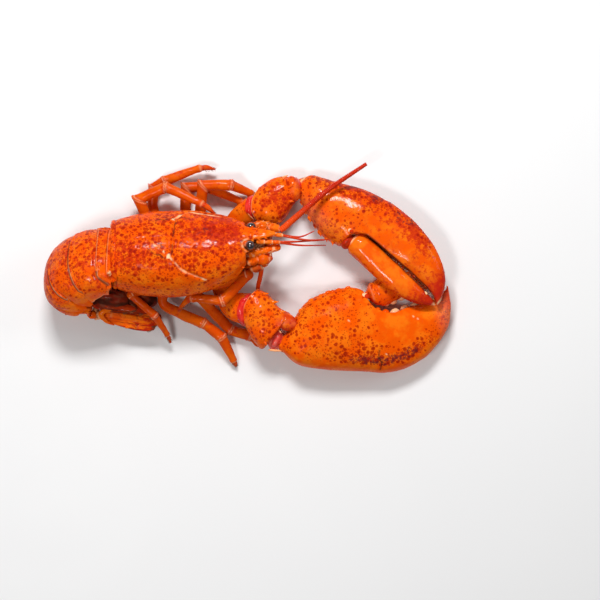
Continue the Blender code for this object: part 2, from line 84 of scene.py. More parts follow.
def lattice(place):
    """Random numbers from -1 to 1 at whole places, joined smoothly between them."""
    cell = np.floor(place).astype(np.int64)
    part = place - cell
    part = part * part * part * (part * (part * 6 - 15) + 10)
    found = np.zeros(place.shape[:-1])
    for corner in product((0, 1), repeat=3):
        at = cell + corner
        mixed = (at[..., 0] * 374761393 + at[..., 1] * 668265263 + at[..., 2] * 974634777) & 0xFFFFFFFF
        mixed = ((mixed ^ (mixed >> 13)) * 1274126177) & 0xFFFFFFFF
        value = ((mixed ^ (mixed >> 16)) & 0xFFFF) / 32767.5 - 1
        found = found + value * np.prod(np.where(np.array(corner) == 1, part, 1 - part), axis=-1)
    return found


# Two slanted ways through the lattice: their sum shows no lines along any axis.
SLANTS = [np.array(Euler(turn).to_matrix()) for turn in ((0.7, 0.4, 1.1), (-0.5, 1.2, -0.6))]


def grain(points, size, seed):
    """Smooth noise from -1 to 1 whose lumps are about size millimetres across."""
    place = np.asarray(points, float) / size
    return 0.72 * sum(lattice(place @ slant + seed * 17.31 + 5.7 * i) for i, slant in enumerate(SLANTS))


def even_rows(rows, count, place=None):
    """Rows joined by a Catmull-Rom curve and read at evenly spaced lengths of their first columns."""
    rows = np.array(rows, float)
    ends = np.vstack([2 * rows[0] - rows[1], rows, 2 * rows[-1] - rows[-2]])
    t = np.linspace(0, 1, 24, endpoint=False)[:, None]
    spans = []
    for before, here, after, beyond in zip(ends, ends[1:], ends[2:], ends[3:]):
        bend = (2 * before - 5 * here + 4 * after - beyond) * t**2
        twist = (3 * here - before - 3 * after + beyond) * t**3
        spans.append(0.5 * (2 * here + (after - before) * t + bend + twist))
    dense = np.vstack([*spans, rows[-1:]])
    steps = np.linalg.norm(np.diff(dense[:, :place], axis=0), axis=1)
    length = np.concatenate([[0], np.cumsum(steps)])
    wanted = np.linspace(0, length[-1], count)
    return np.stack([np.interp(wanted, length, column) for column in dense.T], axis=1)


def column_at(x, rows, column):
    """A table's column read at x, which its first column holds."""
    rows = np.asarray(rows)
    return np.interp(x, rows[:, 0], rows[:, column])


def round_turns(sides):
    return np.arange(sides) * (2 * pi / sides)


def oval(turns, power):
    """Points (across, up) round an oval of half size 1; a power over 2 makes it squarer."""
    return power_of(np.cos(turns), 2 / power), power_of(np.sin(turns), 2 / power)


def moved(points, place):
    matrix = np.array(place)
    return points @ matrix[:3, :3].T + matrix[:3, 3]


def frame_at(origin, heading, pitch=0, roll=0):
    """A matrix whose X axis points along heading and up by pitch, rolled about it (degrees)."""
    turn = Euler((radians(roll), radians(-pitch), radians(heading))).to_matrix().to_4x4()
    return Matrix.Translation(Vector(origin)) @ turn


def near_path(along, round_way, path):
    """Distance of each point to a path on a surface, both as lengths along and round it."""
    found = np.full(np.shape(along), np.inf)
    for (a, b), (c, d) in zip(path, path[1:]):
        run, climb = c - a, d - b
        share = np.clip(((along - a) * run + (round_way - b) * climb) / (run * run + climb * climb), 0, 1)
        found = np.minimum(found, np.hypot(along - a - share * run, round_way - b - share * climb))
    return found


# ---------------- surfaces


class Surface:
    """Points in a place's millimetres, the faces between them, and paint for the points."""

    def __init__(self, points, faces, place):
        self.points = np.asarray(points, float)
        self.faces = faces
        self.place = place
        self.paint = {}

    def grain(self, size, seed):
        return grain(self.points, size, seed)

    def clouds(self, size, seed, low, high):
        """Soft patches where the grain rises from low to high."""
        return rise(self.grain(size, seed), low, high)

    def brush(self, **paints):
        """Lay paints on, keeping what is stronger; a paint may have several amounts."""
        for name, amounts in paints.items():
            for amount in amounts if isinstance(amounts, tuple) else (amounts,):
                self.paint[name] = np.maximum(self.paint.get(name, 0), amount)
        return self

    def closed(self):
        return self.points, self.faces, self.paint


class Skin(Surface):
    """A closed surface of rings, with a pole at each end."""

    def __init__(self, rings, place=HERE, domes=(0, 0)):
        rings = np.asarray(rings, float)
        start = self.dome(rings[0], rings[1], domes[0])
        end = self.dome(rings[-1], rings[-2], domes[1])
        super().__init__(np.concatenate([start[::-1], rings, end]), None, place)
        inside = self.points - self.points.mean(axis=1, keepdims=True)
        self.facing = 1 if np.sum(self.raw_normals() * inside) > 0 else -1

    @staticmethod
    def dome(last, inner, height):
        """Rings that close an end roundly, from the last one outwards."""
        if not height:
            return np.zeros((0, *last.shape))
        centre = last.mean(axis=0)
        out = centre - inner.mean(axis=0)
        out /= np.linalg.norm(out) + 1e-9
        turns = np.linspace(0, pi / 2, 6)[1:-1]
        return np.stack([centre + (last - centre) * cos(a) + out * height * sin(a) for a in turns])

    def raw_normals(self):
        round_way = np.roll(self.points, -1, axis=1) - np.roll(self.points, 1, axis=1)
        out = np.cross(round_way, np.gradient(self.points, axis=0))
        return out / (np.linalg.norm(out, axis=-1, keepdims=True) + 1e-9)

    def push(self, amount):
        """Move every point outwards by its amount."""
        self.points = self.points + self.raw_normals() * self.facing * np.asarray(amount)[..., None]
        return self

    def roughen(self, *kinds):
        """Push by grain, each kind as (amount, size, seed)."""
        return self.push(sum(amount * self.grain(size, seed) for amount, size, seed in kinds))

    def xyz(self):
        return np.moveaxis(self.points, -1, 0)

    def along(self):
        """0 at the first ring to 1 at the last."""
        return np.linspace(0, 1, len(self.points))[:, None]

    def closed(self):
        rings, sides = self.points.shape[:2]
        grid = np.arange(rings * sides).reshape(rings, sides)
        after = np.roll(grid, -1, axis=1)
        quads = np.stack([grid[:-1], after[:-1], after[1:], grid[1:]], axis=-1).reshape(-1, 4)
        first = np.stack([after[0], grid[0], np.full(sides, rings * sides)], axis=-1)
        last = np.stack([grid[-1], after[-1], np.full(sides, rings * sides + 1)], axis=-1)
        if self.facing < 0:
            quads, first, last = quads[:, ::-1], first[:, ::-1], last[:, ::-1]
        poles = np.stack([self.points[0].mean(axis=0), self.points[-1].mean(axis=0)])
        paint = {}
        for name, amount in self.paint.items():
            amount = np.broadcast_to(amount, (rings, sides))
            paint[name] = np.concatenate([amount.ravel(), [amount[0].mean(), amount[-1].mean()]])
        points = np.concatenate([self.points.reshape(-1, 3), poles])
        return points, [*quads.tolist(), *first.tolist(), *last.tolist()], paint


def point_mesh(name, points, edges=(), faces=(), **paints):
    """A mesh in metres from points in millimetres, with numbers or vectors for its points."""
    mesh = bpy.data.meshes.new(name)
    mesh.from_pydata(((points + CENTRING) * MM).tolist(), list(edges), list(faces))
    for kind, amount in paints.items():
        flat = np.asarray(amount).ndim == 1
        layer = mesh.attributes.new(kind, "FLOAT" if flat else "FLOAT_VECTOR", "POINT")
        layer.data.foreach_set("value" if flat else "vector", amount.astype(np.float32).ravel())
    mesh.update()
    return mesh


def mesh_of(name, parts):
    """One mesh from surfaces in their places, with their paint."""
    points, faces, count = [], [], 0
    closed = [part.closed() for part in parts]
    paints = {kind: [] for kind in sorted({kind for _, _, paint in closed for kind in paint})}
    for part, (found, flat, paint) in zip(parts, closed):
        points.append(moved(found, part.place))
        faces += [[count + corner for corner in face] for face in flat]
        for kind, layers in paints.items():
            layers.append(np.broadcast_to(paint.get(kind, 0), len(found)))
        count += len(found)
    layers = {kind: np.concatenate(layers) for kind, layers in paints.items()}
    mesh = point_mesh(name, np.concatenate(points), (), faces, **layers)
    mesh.shade_smooth()
    return mesh


def linked(name, data):
    made = bpy.data.objects.new(name, data)
    bpy.context.scene.collection.objects.link(made)
    return made


def coordinates(mesh):
    found = np.empty(len(mesh.vertices) * 3)
    mesh.vertices.foreach_get("co", found)
    return found.reshape(-1, 3)


def ridden(name, mesh, nodes, finish, slot=None):
    """A piece of the lobster, which stands for the solids that it replaces."""
    mesh.materials.clear()
    mesh.materials.append(finish)
    made = linked(name, mesh)
    slot = slot or finish.name.split(".")[0]  # the name without the number that Blender may add
    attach(made, "root")
    if nodes:
        boxes = [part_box(node) for node in nodes]
        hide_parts(*nodes)
        own = coordinates(mesh)
        low = np.min([box[0] for box in boxes], axis=0) - PROUD * MM
        high = np.max([box[1] for box in boxes], axis=0) + PROUD * MM
        if (own.min(axis=0) < low).any() or (own.max(axis=0) > high).any():
            raise ValueError(f"{name} has left the place of {nodes}")


def piece(name, parts, *nodes, finish=None):
    """A piece of joined surfaces, of cooked shell unless another finish is given."""
    ridden(name, mesh_of(name, parts), nodes, finish or SHELL)


def applied(made):
    """The object's mesh with its modifiers worked in; the object itself goes."""
    graph = bpy.context.evaluated_depsgraph_get()
    seen = made.evaluated_get(graph)
    mesh = bpy.data.meshes.new_from_object(seen, preserve_all_data_layers=True, depsgraph=graph)
    bpy.data.objects.remove(made, do_unlink=True)
    return mesh


def box_loft(place, rows, count, sides, power, domes):
    """A skin along a place's X axis from rows (x, right, left, bottom, top)."""
    x, right, left, low, high = (column[:, None] for column in even_rows(rows, count).T)
    across, up = oval(round_turns(sides)[None, :], power)
    across = (left + right) / 2 + across * (left - right) / 2
    up = (high + low) / 2 + up * (high - low) / 2
    return Skin(np.stack(np.broadcast_arrays(x, across, up), axis=-1), place, domes)


def tube_loft(points, count, sides, flat=1):
    """A skin along points (x, y, z, radius); flat is its height over its width."""
    rows = even_rows(points, count, 3)
    middle, radius = rows[:, :3], rows[:, 3]
    along = np.gradient(middle, axis=0)
    along /= np.linalg.norm(along, axis=1, keepdims=True)
    side = np.cross(along, (0, 0, 1))
    side /= np.linalg.norm(side, axis=1, keepdims=True) + 1e-9
    over = np.cross(side, along)
    across, up = oval(round_turns(sides), 2)
    ring = side[:, None] * across[None, :, None] + over[:, None] * (up * flat)[None, :, None]
    return Skin(middle[:, None] + ring * radius[:, None, None], domes=(radius[0] * 0.6, radius[-1] * 0.6))


def lump(place, centre, radii, sides, rings, tilt=0):
    """An egg of the given half sizes, turned by tilt degrees about its place's Z axis."""
    turns = np.linspace(0, pi, rings + 2)[1:-1, None]
    across, up = oval(round_turns(sides)[None, :], 2)
    x = np.broadcast_to(-np.cos(turns), (rings, sides))
    grid = np.stack([x, across * np.sin(turns), up * np.sin(turns)], axis=-1) * np.array(radii)
    turned = Matrix.Rotation(radians(tilt), 4, "Z")
    return Skin(grid, place @ Matrix.Translation(Vector(centre)) @ turned)


# ---------------- finishes


def maths(operation, turned=False):
    """An operator that adds a Math node, with its two values turned about where need be."""

    def act(self, other):
        values = (other, self) if turned else (self, other)
        return self.math(operation, *values)

    return act


class Number:
    """A value in a node tree: arithmetic on it adds Math nodes."""

    def __init__(self, nodes, socket):
        self.nodes = nodes
        self.socket = socket

    def math(self, operation, *values):
        return self.nodes.number("ShaderNodeMath", {"operation": operation}, dict(enumerate(values)))

    __add__ = __radd__ = maths("ADD")
    __sub__ = maths("SUBTRACT")
    __rsub__ = maths("SUBTRACT", turned=True)
    __mul__ = __rmul__ = maths("MULTIPLY")
    __truediv__ = maths("DIVIDE")
    larger = maths("MAXIMUM")

    def rise(self, low, high):
        """0 up to low, 1 from high on, and a smooth slope between."""
        settings = {"interpolation_type": "SMOOTHSTEP", "clamp": True}
        values = {"Value": self, "From Min": low, "From Max": high}
        return self.nodes.number("ShaderNodeMapRange", settings, values)


class Nodes:
    """A node tree in the making."""

    def node(self, kind, settings=None, values=None):
        """A node whose settings are set first, and then its sockets' values or links."""
        made = self.tree.nodes.new(kind)
        for setting, value in (settings or {}).items():
            setattr(made, setting, value)
        for socket, value in (values or {}).items():
            self.feed(made.inputs[socket], value)
        return made

    def feed(self, socket, value):
        value = getattr(value, "socket", value)
        if isinstance(value, bpy.types.NodeSocket):
            self.tree.links.new(value, socket)
        else:
            socket.default_value = value

    def first(self, kind, settings=None, values=None):
        return self.node(kind, settings, values).outputs[0]

    def number(self, *words):
        return Number(self, self.first(*words))


class Finish(Nodes):
    """A material in the making: a Principled shader, with its constants set on its own sockets."""

    def __init__(self, name, **constants):
        self.material = bpy.data.materials.new(name)
        self.material.use_nodes = True
        self.tree = self.material.node_tree
        self.shader = self.tree.nodes["Principled BSDF"]
        for socket, value in constants.items():
            self.shader.inputs[socket.replace("_", " ")].default_value = value
        where = self.node("ShaderNodeTexCoord").outputs["Object"]
        values = {"Vector": where, "Scale": 1 / MM}
        self.place = self.first("ShaderNodeVectorMath", {"operation": "SCALE"}, values)

    def paint(self, name):
        return Number(self, self.node("ShaderNodeAttribute", {"attribute_name": name}).outputs["Fac"])

    def noise(self, size, detail=2, roughness=0.5, place=None):
        values = {"Vector": place or self.place, "Scale": 1 / size, "Detail": detail, "Roughness": roughness}
        return self.number("ShaderNodeTexNoise", {}, values)

    def warped(self, size, amount):
        """The place with a noise of its own size added, so that what is drawn there is uneven."""
        noise = self.noise(size).socket.node.outputs["Color"]
        values = {0: noise, 1: (amount,) * 3, 2: self.place}
        return self.first("ShaderNodeVectorMath", {"operation": "MULTIPLY_ADD"}, values)

    def dots(self, size, place, amount, softness=0.16):
        """Uneven dots, one for each cell that has any; more amount gives more and larger ones."""
        cell = self.node("ShaderNodeTexVoronoi", {}, {"Vector": place, "Scale": 1 / size})
        own = self.number("ShaderNodeSeparateColor", {}, {0: cell.outputs["Color"]})
        radius = own * 0.34 + amount - 0.17
        return (radius - Number(self, cell.outputs["Distance"])).rise(0, softness)

    def colour(self, share, one, two):
        """A colour between two by a share, which is kept as the finish's own."""
        one, two = ((*c, 1) if isinstance(c, tuple) else c for c in (one, two))
        made = self.node("ShaderNodeMix", {"data_type": "RGBA"}, {0: share, 6: one, 7: two})
        self.own = made.outputs[2]

    def lay(self, share, colour):
        """Lay a colour over the finish's own."""
        self.colour(share, self.own, colour)

    def bump(self, height, depth, below=None):
        """A relief of depth millimetres, on top of the one below."""
        values = {"Strength": 1, "Distance": depth * MM, "Height": height}
        if below is not None:
            values["Normal"] = below
        return self.first("ShaderNodeBump", {}, values)

    def done(self, roughness, **others):
        for socket, value in {"Base Color": self.own, "Roughness": roughness, **others}.items():
            self.feed(self.shader.inputs[socket.replace("_", " ")], value)
        return self.material


PALE_ORANGE = (0.88, 0.2, 0.006)
ORANGE = (0.8, 0.088, 0.001)
RED_ORANGE = (0.56, 0.03, 0.003)
CRIMSON = (0.44, 0.014, 0.006)
BRIGHT_RED = (0.5, 0.012, 0.005)
DOT_RED = (0.4, 0.012, 0.002)
DEEP_RED = (0.32, 0.01, 0.002)
DARK_RED = (0.16, 0.006, 0.002)
PURPLE = (0.13, 0.016, 0.02)
CREAM = (0.9, 0.62, 0.34)
ALMOST_BLACK = (0.025, 0.012, 0.008)
# A pink for painted sheen: highlights and reflections of light laid on as colour.
SHEEN_PINK = (0.85, 0.24, 0.16)
LARGE_DOTS, SMALL_DOTS = 3.1, 1.5  # how far apart dots lie


def shell_finish(name, orange, pale, gloss, dot_share):
    """Cooked shell: orange that turns deep red in clouds, with dark red dots and painted marks.

    Paint: stain reddens, spots adds dots, bruise darkens to purple, plain clears the dots,
    the pink paint lays on a painted sheen of light, cream, dark and red colour outright (in some
    seams, gaps and hollows the dark is painted shade), matt takes gloss away and glaze gives more.
    """
    shell = Finish(name, IOR=1.45, Specular_IOR_Level=0.015, Coat_Roughness=0.11, Coat_IOR=1.5)
    stain, plain = shell.paint("stain"), shell.paint("plain")
    clouds = shell.noise(11, 3, 0.6)
    mottle = shell.noise(3.4, 4, 0.7)
    fine = shell.noise(1.3, 3, 0.65)
    uneven = shell.warped(1.7, 1.1)
    shell.colour(clouds.rise(0.4, 0.62) * 0.65, orange, pale)
    shell.lay((clouds * 0.9 + mottle * 1.8 + stain - 1.7).rise(0, 0.34) * 0.9, RED_ORANGE)
    shell.lay((mottle * 1.5 + fine * 0.7 + stain * 0.9 - 1.62).rise(0, 0.34) * 0.75, CRIMSON)
    amount = shell.paint("spots") * 0.32 - plain * 0.5 + dot_share
    shell.lay(shell.dots(LARGE_DOTS, uneven, amount + stain * 0.05, 0.18) * 0.8, DOT_RED)
    shell.lay(shell.dots(SMALL_DOTS, uneven, amount - 0.05, 0.17) * (fine * 0.8 + 0.25), DEEP_RED)
    heart = shell.dots(LARGE_DOTS, uneven, amount - 0.17 + stain * 0.05)
    shell.lay(heart * mottle.rise(0.35, 0.6) * 0.45, DARK_RED)
    veins = shell.noise(2.4, 4, 0.75, shell.warped(4, 3))
    shell.lay((veins + shell.paint("bruise") * 0.45 - 0.8).rise(0, 0.16) * 0.85, PURPLE)
    # A painted pink sheen, which stands in for highlights and reflections of light.
    shell.lay(shell.paint("blush") * (fine * 0.9 + 0.1), SHEEN_PINK)
    shell.lay(shell.paint("red") * (mottle * 0.5 + 0.7), BRIGHT_RED)
    shell.lay(shell.paint("cream") * (fine * 0.5 + 0.65), CREAM)
    shell.lay(shell.paint("dark"), ALMOST_BLACK)
    pits = shell.dots(SMALL_DOTS, shell.warped(1, 0.5), 0.05)
    waves = shell.bump(shell.noise(5.5, 2), 0.3)
    normal = shell.bump(fine * 0.5 - pits * 0.5, 0.14, waves)
    rough = fine * 0.16 + clouds * 0.08 + gloss + shell.paint("dark") * 0.3
    dry = shell.paint("matt").larger(shell.paint("dark"))
    wet = (mottle * 0.6 + fine * 0.6 - 0.46).rise(0, 0.32) * 0.38 * (1 - dry) + shell.paint("glaze") * 0.3
    return shell.done(rough, Normal=normal, Coat_Weight=wet)


def skin_finish():
    """The bright wet skin that shows in a joint."""
    skin = Finish("joint_skin", IOR=1.45, Specular_IOR_Level=0.22, Coat_Weight=0.4, Coat_Roughness=0.08)
    fine = skin.noise(1.3, 3)
    skin.colour(skin.noise(3, 3).rise(0.3, 0.7), (0.6, 0.008, 0.008), (0.74, 0.035, 0.022))
    skin.lay(skin.paint("cream"), (0.85, 0.42, 0.3))
    return skin.done(fine * 0.2 + 0.18, Normal=skin.bump(skin.noise(1.6, 2), 0.25))


def horn_finish():
    """The glossy dark red of the feelers, paler near the root where it is painted so."""
    horn = Finish("antenna_horn", IOR=1.5, Specular_IOR_Level=0.08, Coat_Weight=0.16, Coat_Roughness=0.12)
    fine = horn.noise(1.2, 3)
    horn.colour(fine, (0.4, 0.009, 0.001), (0.6, 0.028, 0.002))
    horn.lay(horn.paint("pale"), (0.72, 0.066, 0.003))
    return horn.done(fine * 0.2 + 0.25)


def eye_finish():
    eye = Finish("eye_black", IOR=1.5, Coat_Weight=1, Coat_Roughness=0.03)
    facets = eye.noise(0.5, 1)
    eye.colour(eye.paint("red"), (0.01, 0.009, 0.012), (0.16, 0.02, 0.015))
    return eye.done(facets * 0.1 + 0.08, Normal=eye.bump(facets, 0.03))


def plain_finish(name, grain_size, dark, pale, fine_size, gloss, **constants):
    """An even finish between two colours; gloss is how far the fine grain moves it, and its start."""
    made = Finish(name, **constants)
    made.colour(made.noise(grain_size), dark, pale)
    return made.done(made.noise(fine_size) * gloss[0] + gloss[1])


SHELL = shell_finish("cooked_shell", ORANGE, PALE_ORANGE, 0.15, 0.15)
LEG = shell_finish("leg_shell", (0.62, 0.062, 0.001), (0.76, 0.125, 0.002), 0.18, 0.02)
SKIN = skin_finish()
HORN = horn_finish()
EYE = eye_finish()
BRISTLE = plain_finish(
    "bristle_brown", 2.5, (0.1, 0.035, 0.012), (0.34, 0.11, 0.03), 1.5, (0.3, 0.45), IOR=1.45,
)


# ---------------- what is grown in numbers

FACTOR = "NodeSocketFloat"
COUNT = "NodeSocketInt"


class Tree(Nodes):
    """A Geometry Nodes group with named inputs, ended in real geometry with its material."""

    def __init__(self, name, **inputs):
        self.tree = bpy.data.node_groups.new(name, "GeometryNodeTree")
        face = self.tree.interface
        face.new_socket("Geometry", in_out="INPUT", socket_type="NodeSocketGeometry")
        for label, (kind, value) in inputs.items():
            face.new_socket(label, in_out="INPUT", socket_type=kind).default_value = value
        face.new_socket("Geometry", in_out="OUTPUT", socket_type="NodeSocketGeometry")
        given = self.node("NodeGroupInput").outputs
        self.given = {socket.name: Number(self, socket) for socket in given if socket.name}

    def named(self, name, kind="FLOAT"):
        made = self.node("GeometryNodeInputNamedAttribute", {"data_type": kind}, {"Name": name})
        return Number(self, made.outputs["Attribute"])

    def random(self, **span):
        """A random number for each point, between a Min and a Max."""
        made = self.node("FunctionNodeRandomValue", {"data_type": "FLOAT"})
        for socket in made.inputs:
            if socket.enabled and socket.name in span:
                self.feed(socket, span[socket.name])
        return made.outputs["Value"]

    def end(self, geometry, material):
        real = self.first("GeometryNodeRealizeInstances", {}, {0: geometry})
        made = self.first("GeometryNodeSetMaterial", {}, {0: real, "Material": material})
        self.node("NodeGroupOutput", {}, {0: made})
        return self.tree

    def smooth(self, geometry):
        return self.first("GeometryNodeSetShadeSmooth", {}, {"Geometry": geometry})

    @staticmethod
    def grow(tree, mesh, **sizes):
        """A plain mesh of what the tree makes of a mesh, with its inputs set."""
        made = linked(mesh.name, mesh)
        modifier = made.modifiers.new("grown", "NODES")
        modifier.node_group = tree
        for item in tree.interface.items_tree:
            if item.in_out == "INPUT" and item.name in sizes:
                modifier[item.identifier] = sizes[item.name]
        return applied(made)


def growth_tree(material):
    """A bent cone on every point, along its aim and scaled by its size."""
    lengths = {
        "Length": (FACTOR, 0.002), "Width": (FACTOR, 0.0005), "Bend": (FACTOR, 0.2), "Lean": (FACTOR, 0.2),
    }
    tree = Tree("growths", **lengths, Sides=(COUNT, 6), Seed=(COUNT, 1))
    given = tree.given
    values = {
        "Vertices": given["Sides"], "Side Segments": 3, "Radius Top": 0.12, "Radius Bottom": 1, "Depth": 1,
    }
    cone = tree.node("GeometryNodeMeshCone", {}, values).outputs["Mesh"]
    place = tree.first("GeometryNodeInputPosition")
    height = Number(tree, tree.node("ShaderNodeSeparateXYZ", {}, {0: place}).outputs["Z"])
    offset = tree.first("ShaderNodeCombineXYZ", {}, {"X": height * height * given["Bend"]})
    bent = tree.smooth(tree.first("GeometryNodeSetPosition", {}, {"Geometry": cone, "Offset": offset}))
    aim = tree.named("aim", "FLOAT_VECTOR")
    aimed = tree.first("FunctionNodeAlignRotationToVector", {"axis": "Z"}, {"Vector": aim})
    lean = tree.random(Min=given["Lean"] * -1, Max=given["Lean"], Seed=given["Seed"])
    turned = tree.first("ShaderNodeCombineXYZ", {}, {"X": lean, "Z": tree.random(Max=2 * pi)})
    euler = tree.first("FunctionNodeEulerToRotation", {}, {0: turned})
    values = {"Rotation": aimed, "Rotate By": euler}
    rotation = tree.first("FunctionNodeRotateRotation", {"rotation_space": "LOCAL"}, values)
    size = tree.named("size")
    wide = size * given["Width"]
    scale = tree.first("ShaderNodeCombineXYZ", {}, {"X": wide, "Y": wide, "Z": size * given["Length"]})
    values = {"Points": given["Geometry"], "Instance": bent, "Rotation": rotation, "Scale": scale}
    return tree.end(tree.first("GeometryNodeInstanceOnPoints", {}, values), material)


def whip_tree(material):
    """A tapering feeler along a line of points with a girth, ringed as if of many short segments."""
    tree = Tree("feelers", Pitch=(FACTOR, 0.001), Depth=(FACTOR, 0.06), Sides=(COUNT, 14))
    given = tree.given
    line = tree.first("GeometryNodeMeshToCurve", {}, {0: given["Geometry"]})
    values = {"Curve": line, "Length": given["Pitch"] / 5}
    fine = tree.first("GeometryNodeResampleCurve", {"mode": "LENGTH"}, values)
    length = Number(tree, tree.node("GeometryNodeSplineParameter").outputs["Length"])
    wave = tree.number("ShaderNodeMath", {"operation": "SINE"}, {0: length / given["Pitch"] * (2 * pi)})
    girth = tree.named("girth") * (wave * given["Depth"] + 1)
    thick = tree.first("GeometryNodeSetCurveRadius", {}, {"Curve": fine, "Radius": girth})
    ring = tree.first("GeometryNodeCurvePrimitiveCircle", {}, {"Resolution": given["Sides"], "Radius": 1})
    values = {"Curve": thick, "Profile Curve": ring, "Fill Caps": True}
    made = tree.node("GeometryNodeCurveToMesh", {}, values)
    if "Scale" in made.inputs:
        tree.feed(made.inputs["Scale"], girth)
    return tree.end(tree.smooth(made.outputs[0]), material)


class Growths:
    """Roots, aims and sizes of the small things that stand on the shell, kept until they are grown."""

    def __init__(self, seed):
        self.rows = []
        self.random = np.random.default_rng(seed)

    def add(self, place, roots, aims, sizes):
        roots = np.atleast_2d(roots).astype(float)
        aims = np.broadcast_to(np.atleast_2d(aims), roots.shape) @ np.array(place.to_3x3()).T
        sizes = np.broadcast_to(sizes, len(roots))[:, None]
        self.rows.append(np.concatenate([moved(roots, place), aims, sizes], axis=1))

    def grown(self, name, finish, **sizes):
        """All of them as one piece, with the tree's sizes."""
        rows = np.concatenate(self.rows)
        mesh = point_mesh(name, rows[:, :3], aim=rows[:, 3:6], size=rows[:, 6])
        ridden(name, Tree.grow(growth_tree(finish), mesh, **sizes), (), finish, "cooked_shell")


SPINES = Growths(3)  # shell coloured thorns
BRISTLES = Growths(5)  # brown hairs


# ---------------- how the body and tail lie

BODY_REAR = Vector((-89.4, 9, 34))
BODY_TURN = Euler((radians(-26), radians(2.5), radians(1.5)))
BODY = Matrix.Translation(BODY_REAR) @ BODY_TURN.to_matrix().to_4x4()
TAIL = Matrix.Translation(Vector((-100.3, -2, 31.6))) @ Euler((radians(-36), 0, 0)).to_matrix().to_4x4()
CURL_HUB_V = -9
CURL_REAR = 40.2
CURL_TOP = 33.5
CURL_BOTTOM = 23.4

# s, half width, top, bottom, height of the widest line
CARAPACE = (
    (-2.5, 23, 19.6, -12.5, 0), (5, 25.3, 21.3, -14, -0.5), (16, 28, 23.3, -15.5, -1),
    (30, 30, 24.4, -16, -2), (44, 30, 24.5, -15.5, -2), (57, 28.5, 24, -13.5, -1), (68, 26, 23.3, -10.5, 1),
    (77, 22.5, 22.6, -6.5, 4), (84, 18.5, 22.2, -2.5, 7), (89, 13.5, 21.8, 3, 10.5),
    (91.5, 8, 21.5, 10, 15),
)
ROSTRUM = (
    (76, 9, 21.4, 14, 18.5), (88, 6, 22.3, 17, 20.6), (95.5, 4.7, 22.8, 18.6, 21.6),
    (103, 3.1, 23.2, 20.6, 22.6), (109, 1, 23.7, 22.5, 23.3),
)
ROSTRUM_ASIDE = 1.9  # how far its base sits to the left of the middle line
EYE_PLACES = {"right": (91, -6.4, 20.8), "left": (92, 8.8, 18)}
BACK_RADIUS = 24.5

# Lines on the carapace, each a list of (s, degrees round from the back, to the left).
NECK_GROOVE = ((58, -67), (53.6, -61), (45.6, -52), (40.4, -41), (38.5, -31), (39.4, 2), (41.5, 31))
NECK_GROOVE_LEFT = ((41.5, 31), (45.6, 47), (51, 56), (58, 62))
GROOVE_CREAM = (
    (25, -12), (29.6, -19.4), (36.5, -33), (40.4, -42), (44.3, -51), (48.3, -57), (52.2, -60), (61, -70),
)
GROOVE_CREAM_LEFT = ((39.5, 31), (45, 44), (51, 51.4), (61, 48), (71, 44))
CREAM_BLOBS = ((36.3, -32.5, 2), (33, -26, 1.2), (39.6, 32, 1.5))
# Fine marks on the back: s, length round from the middle line.
WAVY_MARK = ((27, 14), (31, 15.5), (34, 14.2), (37.5, 16), (41, 14.6), (46, 17), (51, 15.6))
SCRATCH = ((23, -9.5), (27, -13.2), (30.5, -13.6), (32, -15.5), (33.4, -16.3), (34.7, -19.9))
BEAK_SPINES = (92.5, 97, 101.5)
# Thorns behind the beak: s, degrees round from the back, size.
NECK_SPINES = ((80, 34, 1.3), (71, 30, 0.8), (85.5, 62, 0.8))


def body_skin(rows, count, sides, top_power, low_power, domes):
    """Rings across the body: a round back over a squarer underside."""
    s, half_width, top, bottom, middle = (column[:, None] for column in even_rows(rows, count).T)
    turns = round_turns(sides)[None, :]
    rising = np.sin(turns) >= 0
    power = np.where(rising, top_power, low_power)
    height = np.where(rising, top - middle, middle - bottom)
    across = half_width * power_of(np.cos(turns), 2 / power)
    up = middle + height * power_of(np.sin(turns), 2 / power)
    return Skin(np.stack(np.broadcast_arrays(s, across, up), axis=-1), BODY, domes)


# ---------------- carapace

CARAPACE_VOXEL = 0.62
# The front margin of the carapace: how far forward it reaches at each angle from the back.
MARGIN = ((0, 93), (22, 91), (33, 88.4), (60, 88.8), (80, 84.5), (100, 79.5), (125, 74), (180, 70))


def margin_at(angle):
    return np.interp(abs(angle), *zip(*MARGIN))


def joined_solid(name, parts, cutters):
    """The surfaces melted into one by voxels, less the cutters, in the parts' own place, and its normals."""
    made = linked(name, mesh_of(name, parts))
    hollow = linked(name + "_hollow", mesh_of(name + "_hollow", cutters))
    voxels = {"mode": "VOXEL", "voxel_size": CARAPACE_VOXEL * MM}
    for kind, settings in (
        ("REMESH", voxels),
        ("BOOLEAN", {"operation": "DIFFERENCE", "object": hollow}),
        ("REMESH", voxels),
        ("SMOOTH", {"iterations": 4, "factor": 0.5}),
    ):
        step = made.modifiers.new(kind.lower(), kind)
        for setting, value in settings.items():
            setattr(step, setting, value)
    mesh = applied(made)
    bpy.data.objects.remove(hollow, do_unlink=True)
    normals = np.array([normal.vector for normal in mesh.vertex_normals])
    faces = [tuple(polygon.vertices) for polygon in mesh.polygons]
    place = parts[0].place
    back = place.inverted()
    points = moved(coordinates(mesh) / MM - CENTRING, back)
    bpy.data.meshes.remove(mesh)
    return Surface(points, faces, place), normals @ np.array(back.to_3x3()).T


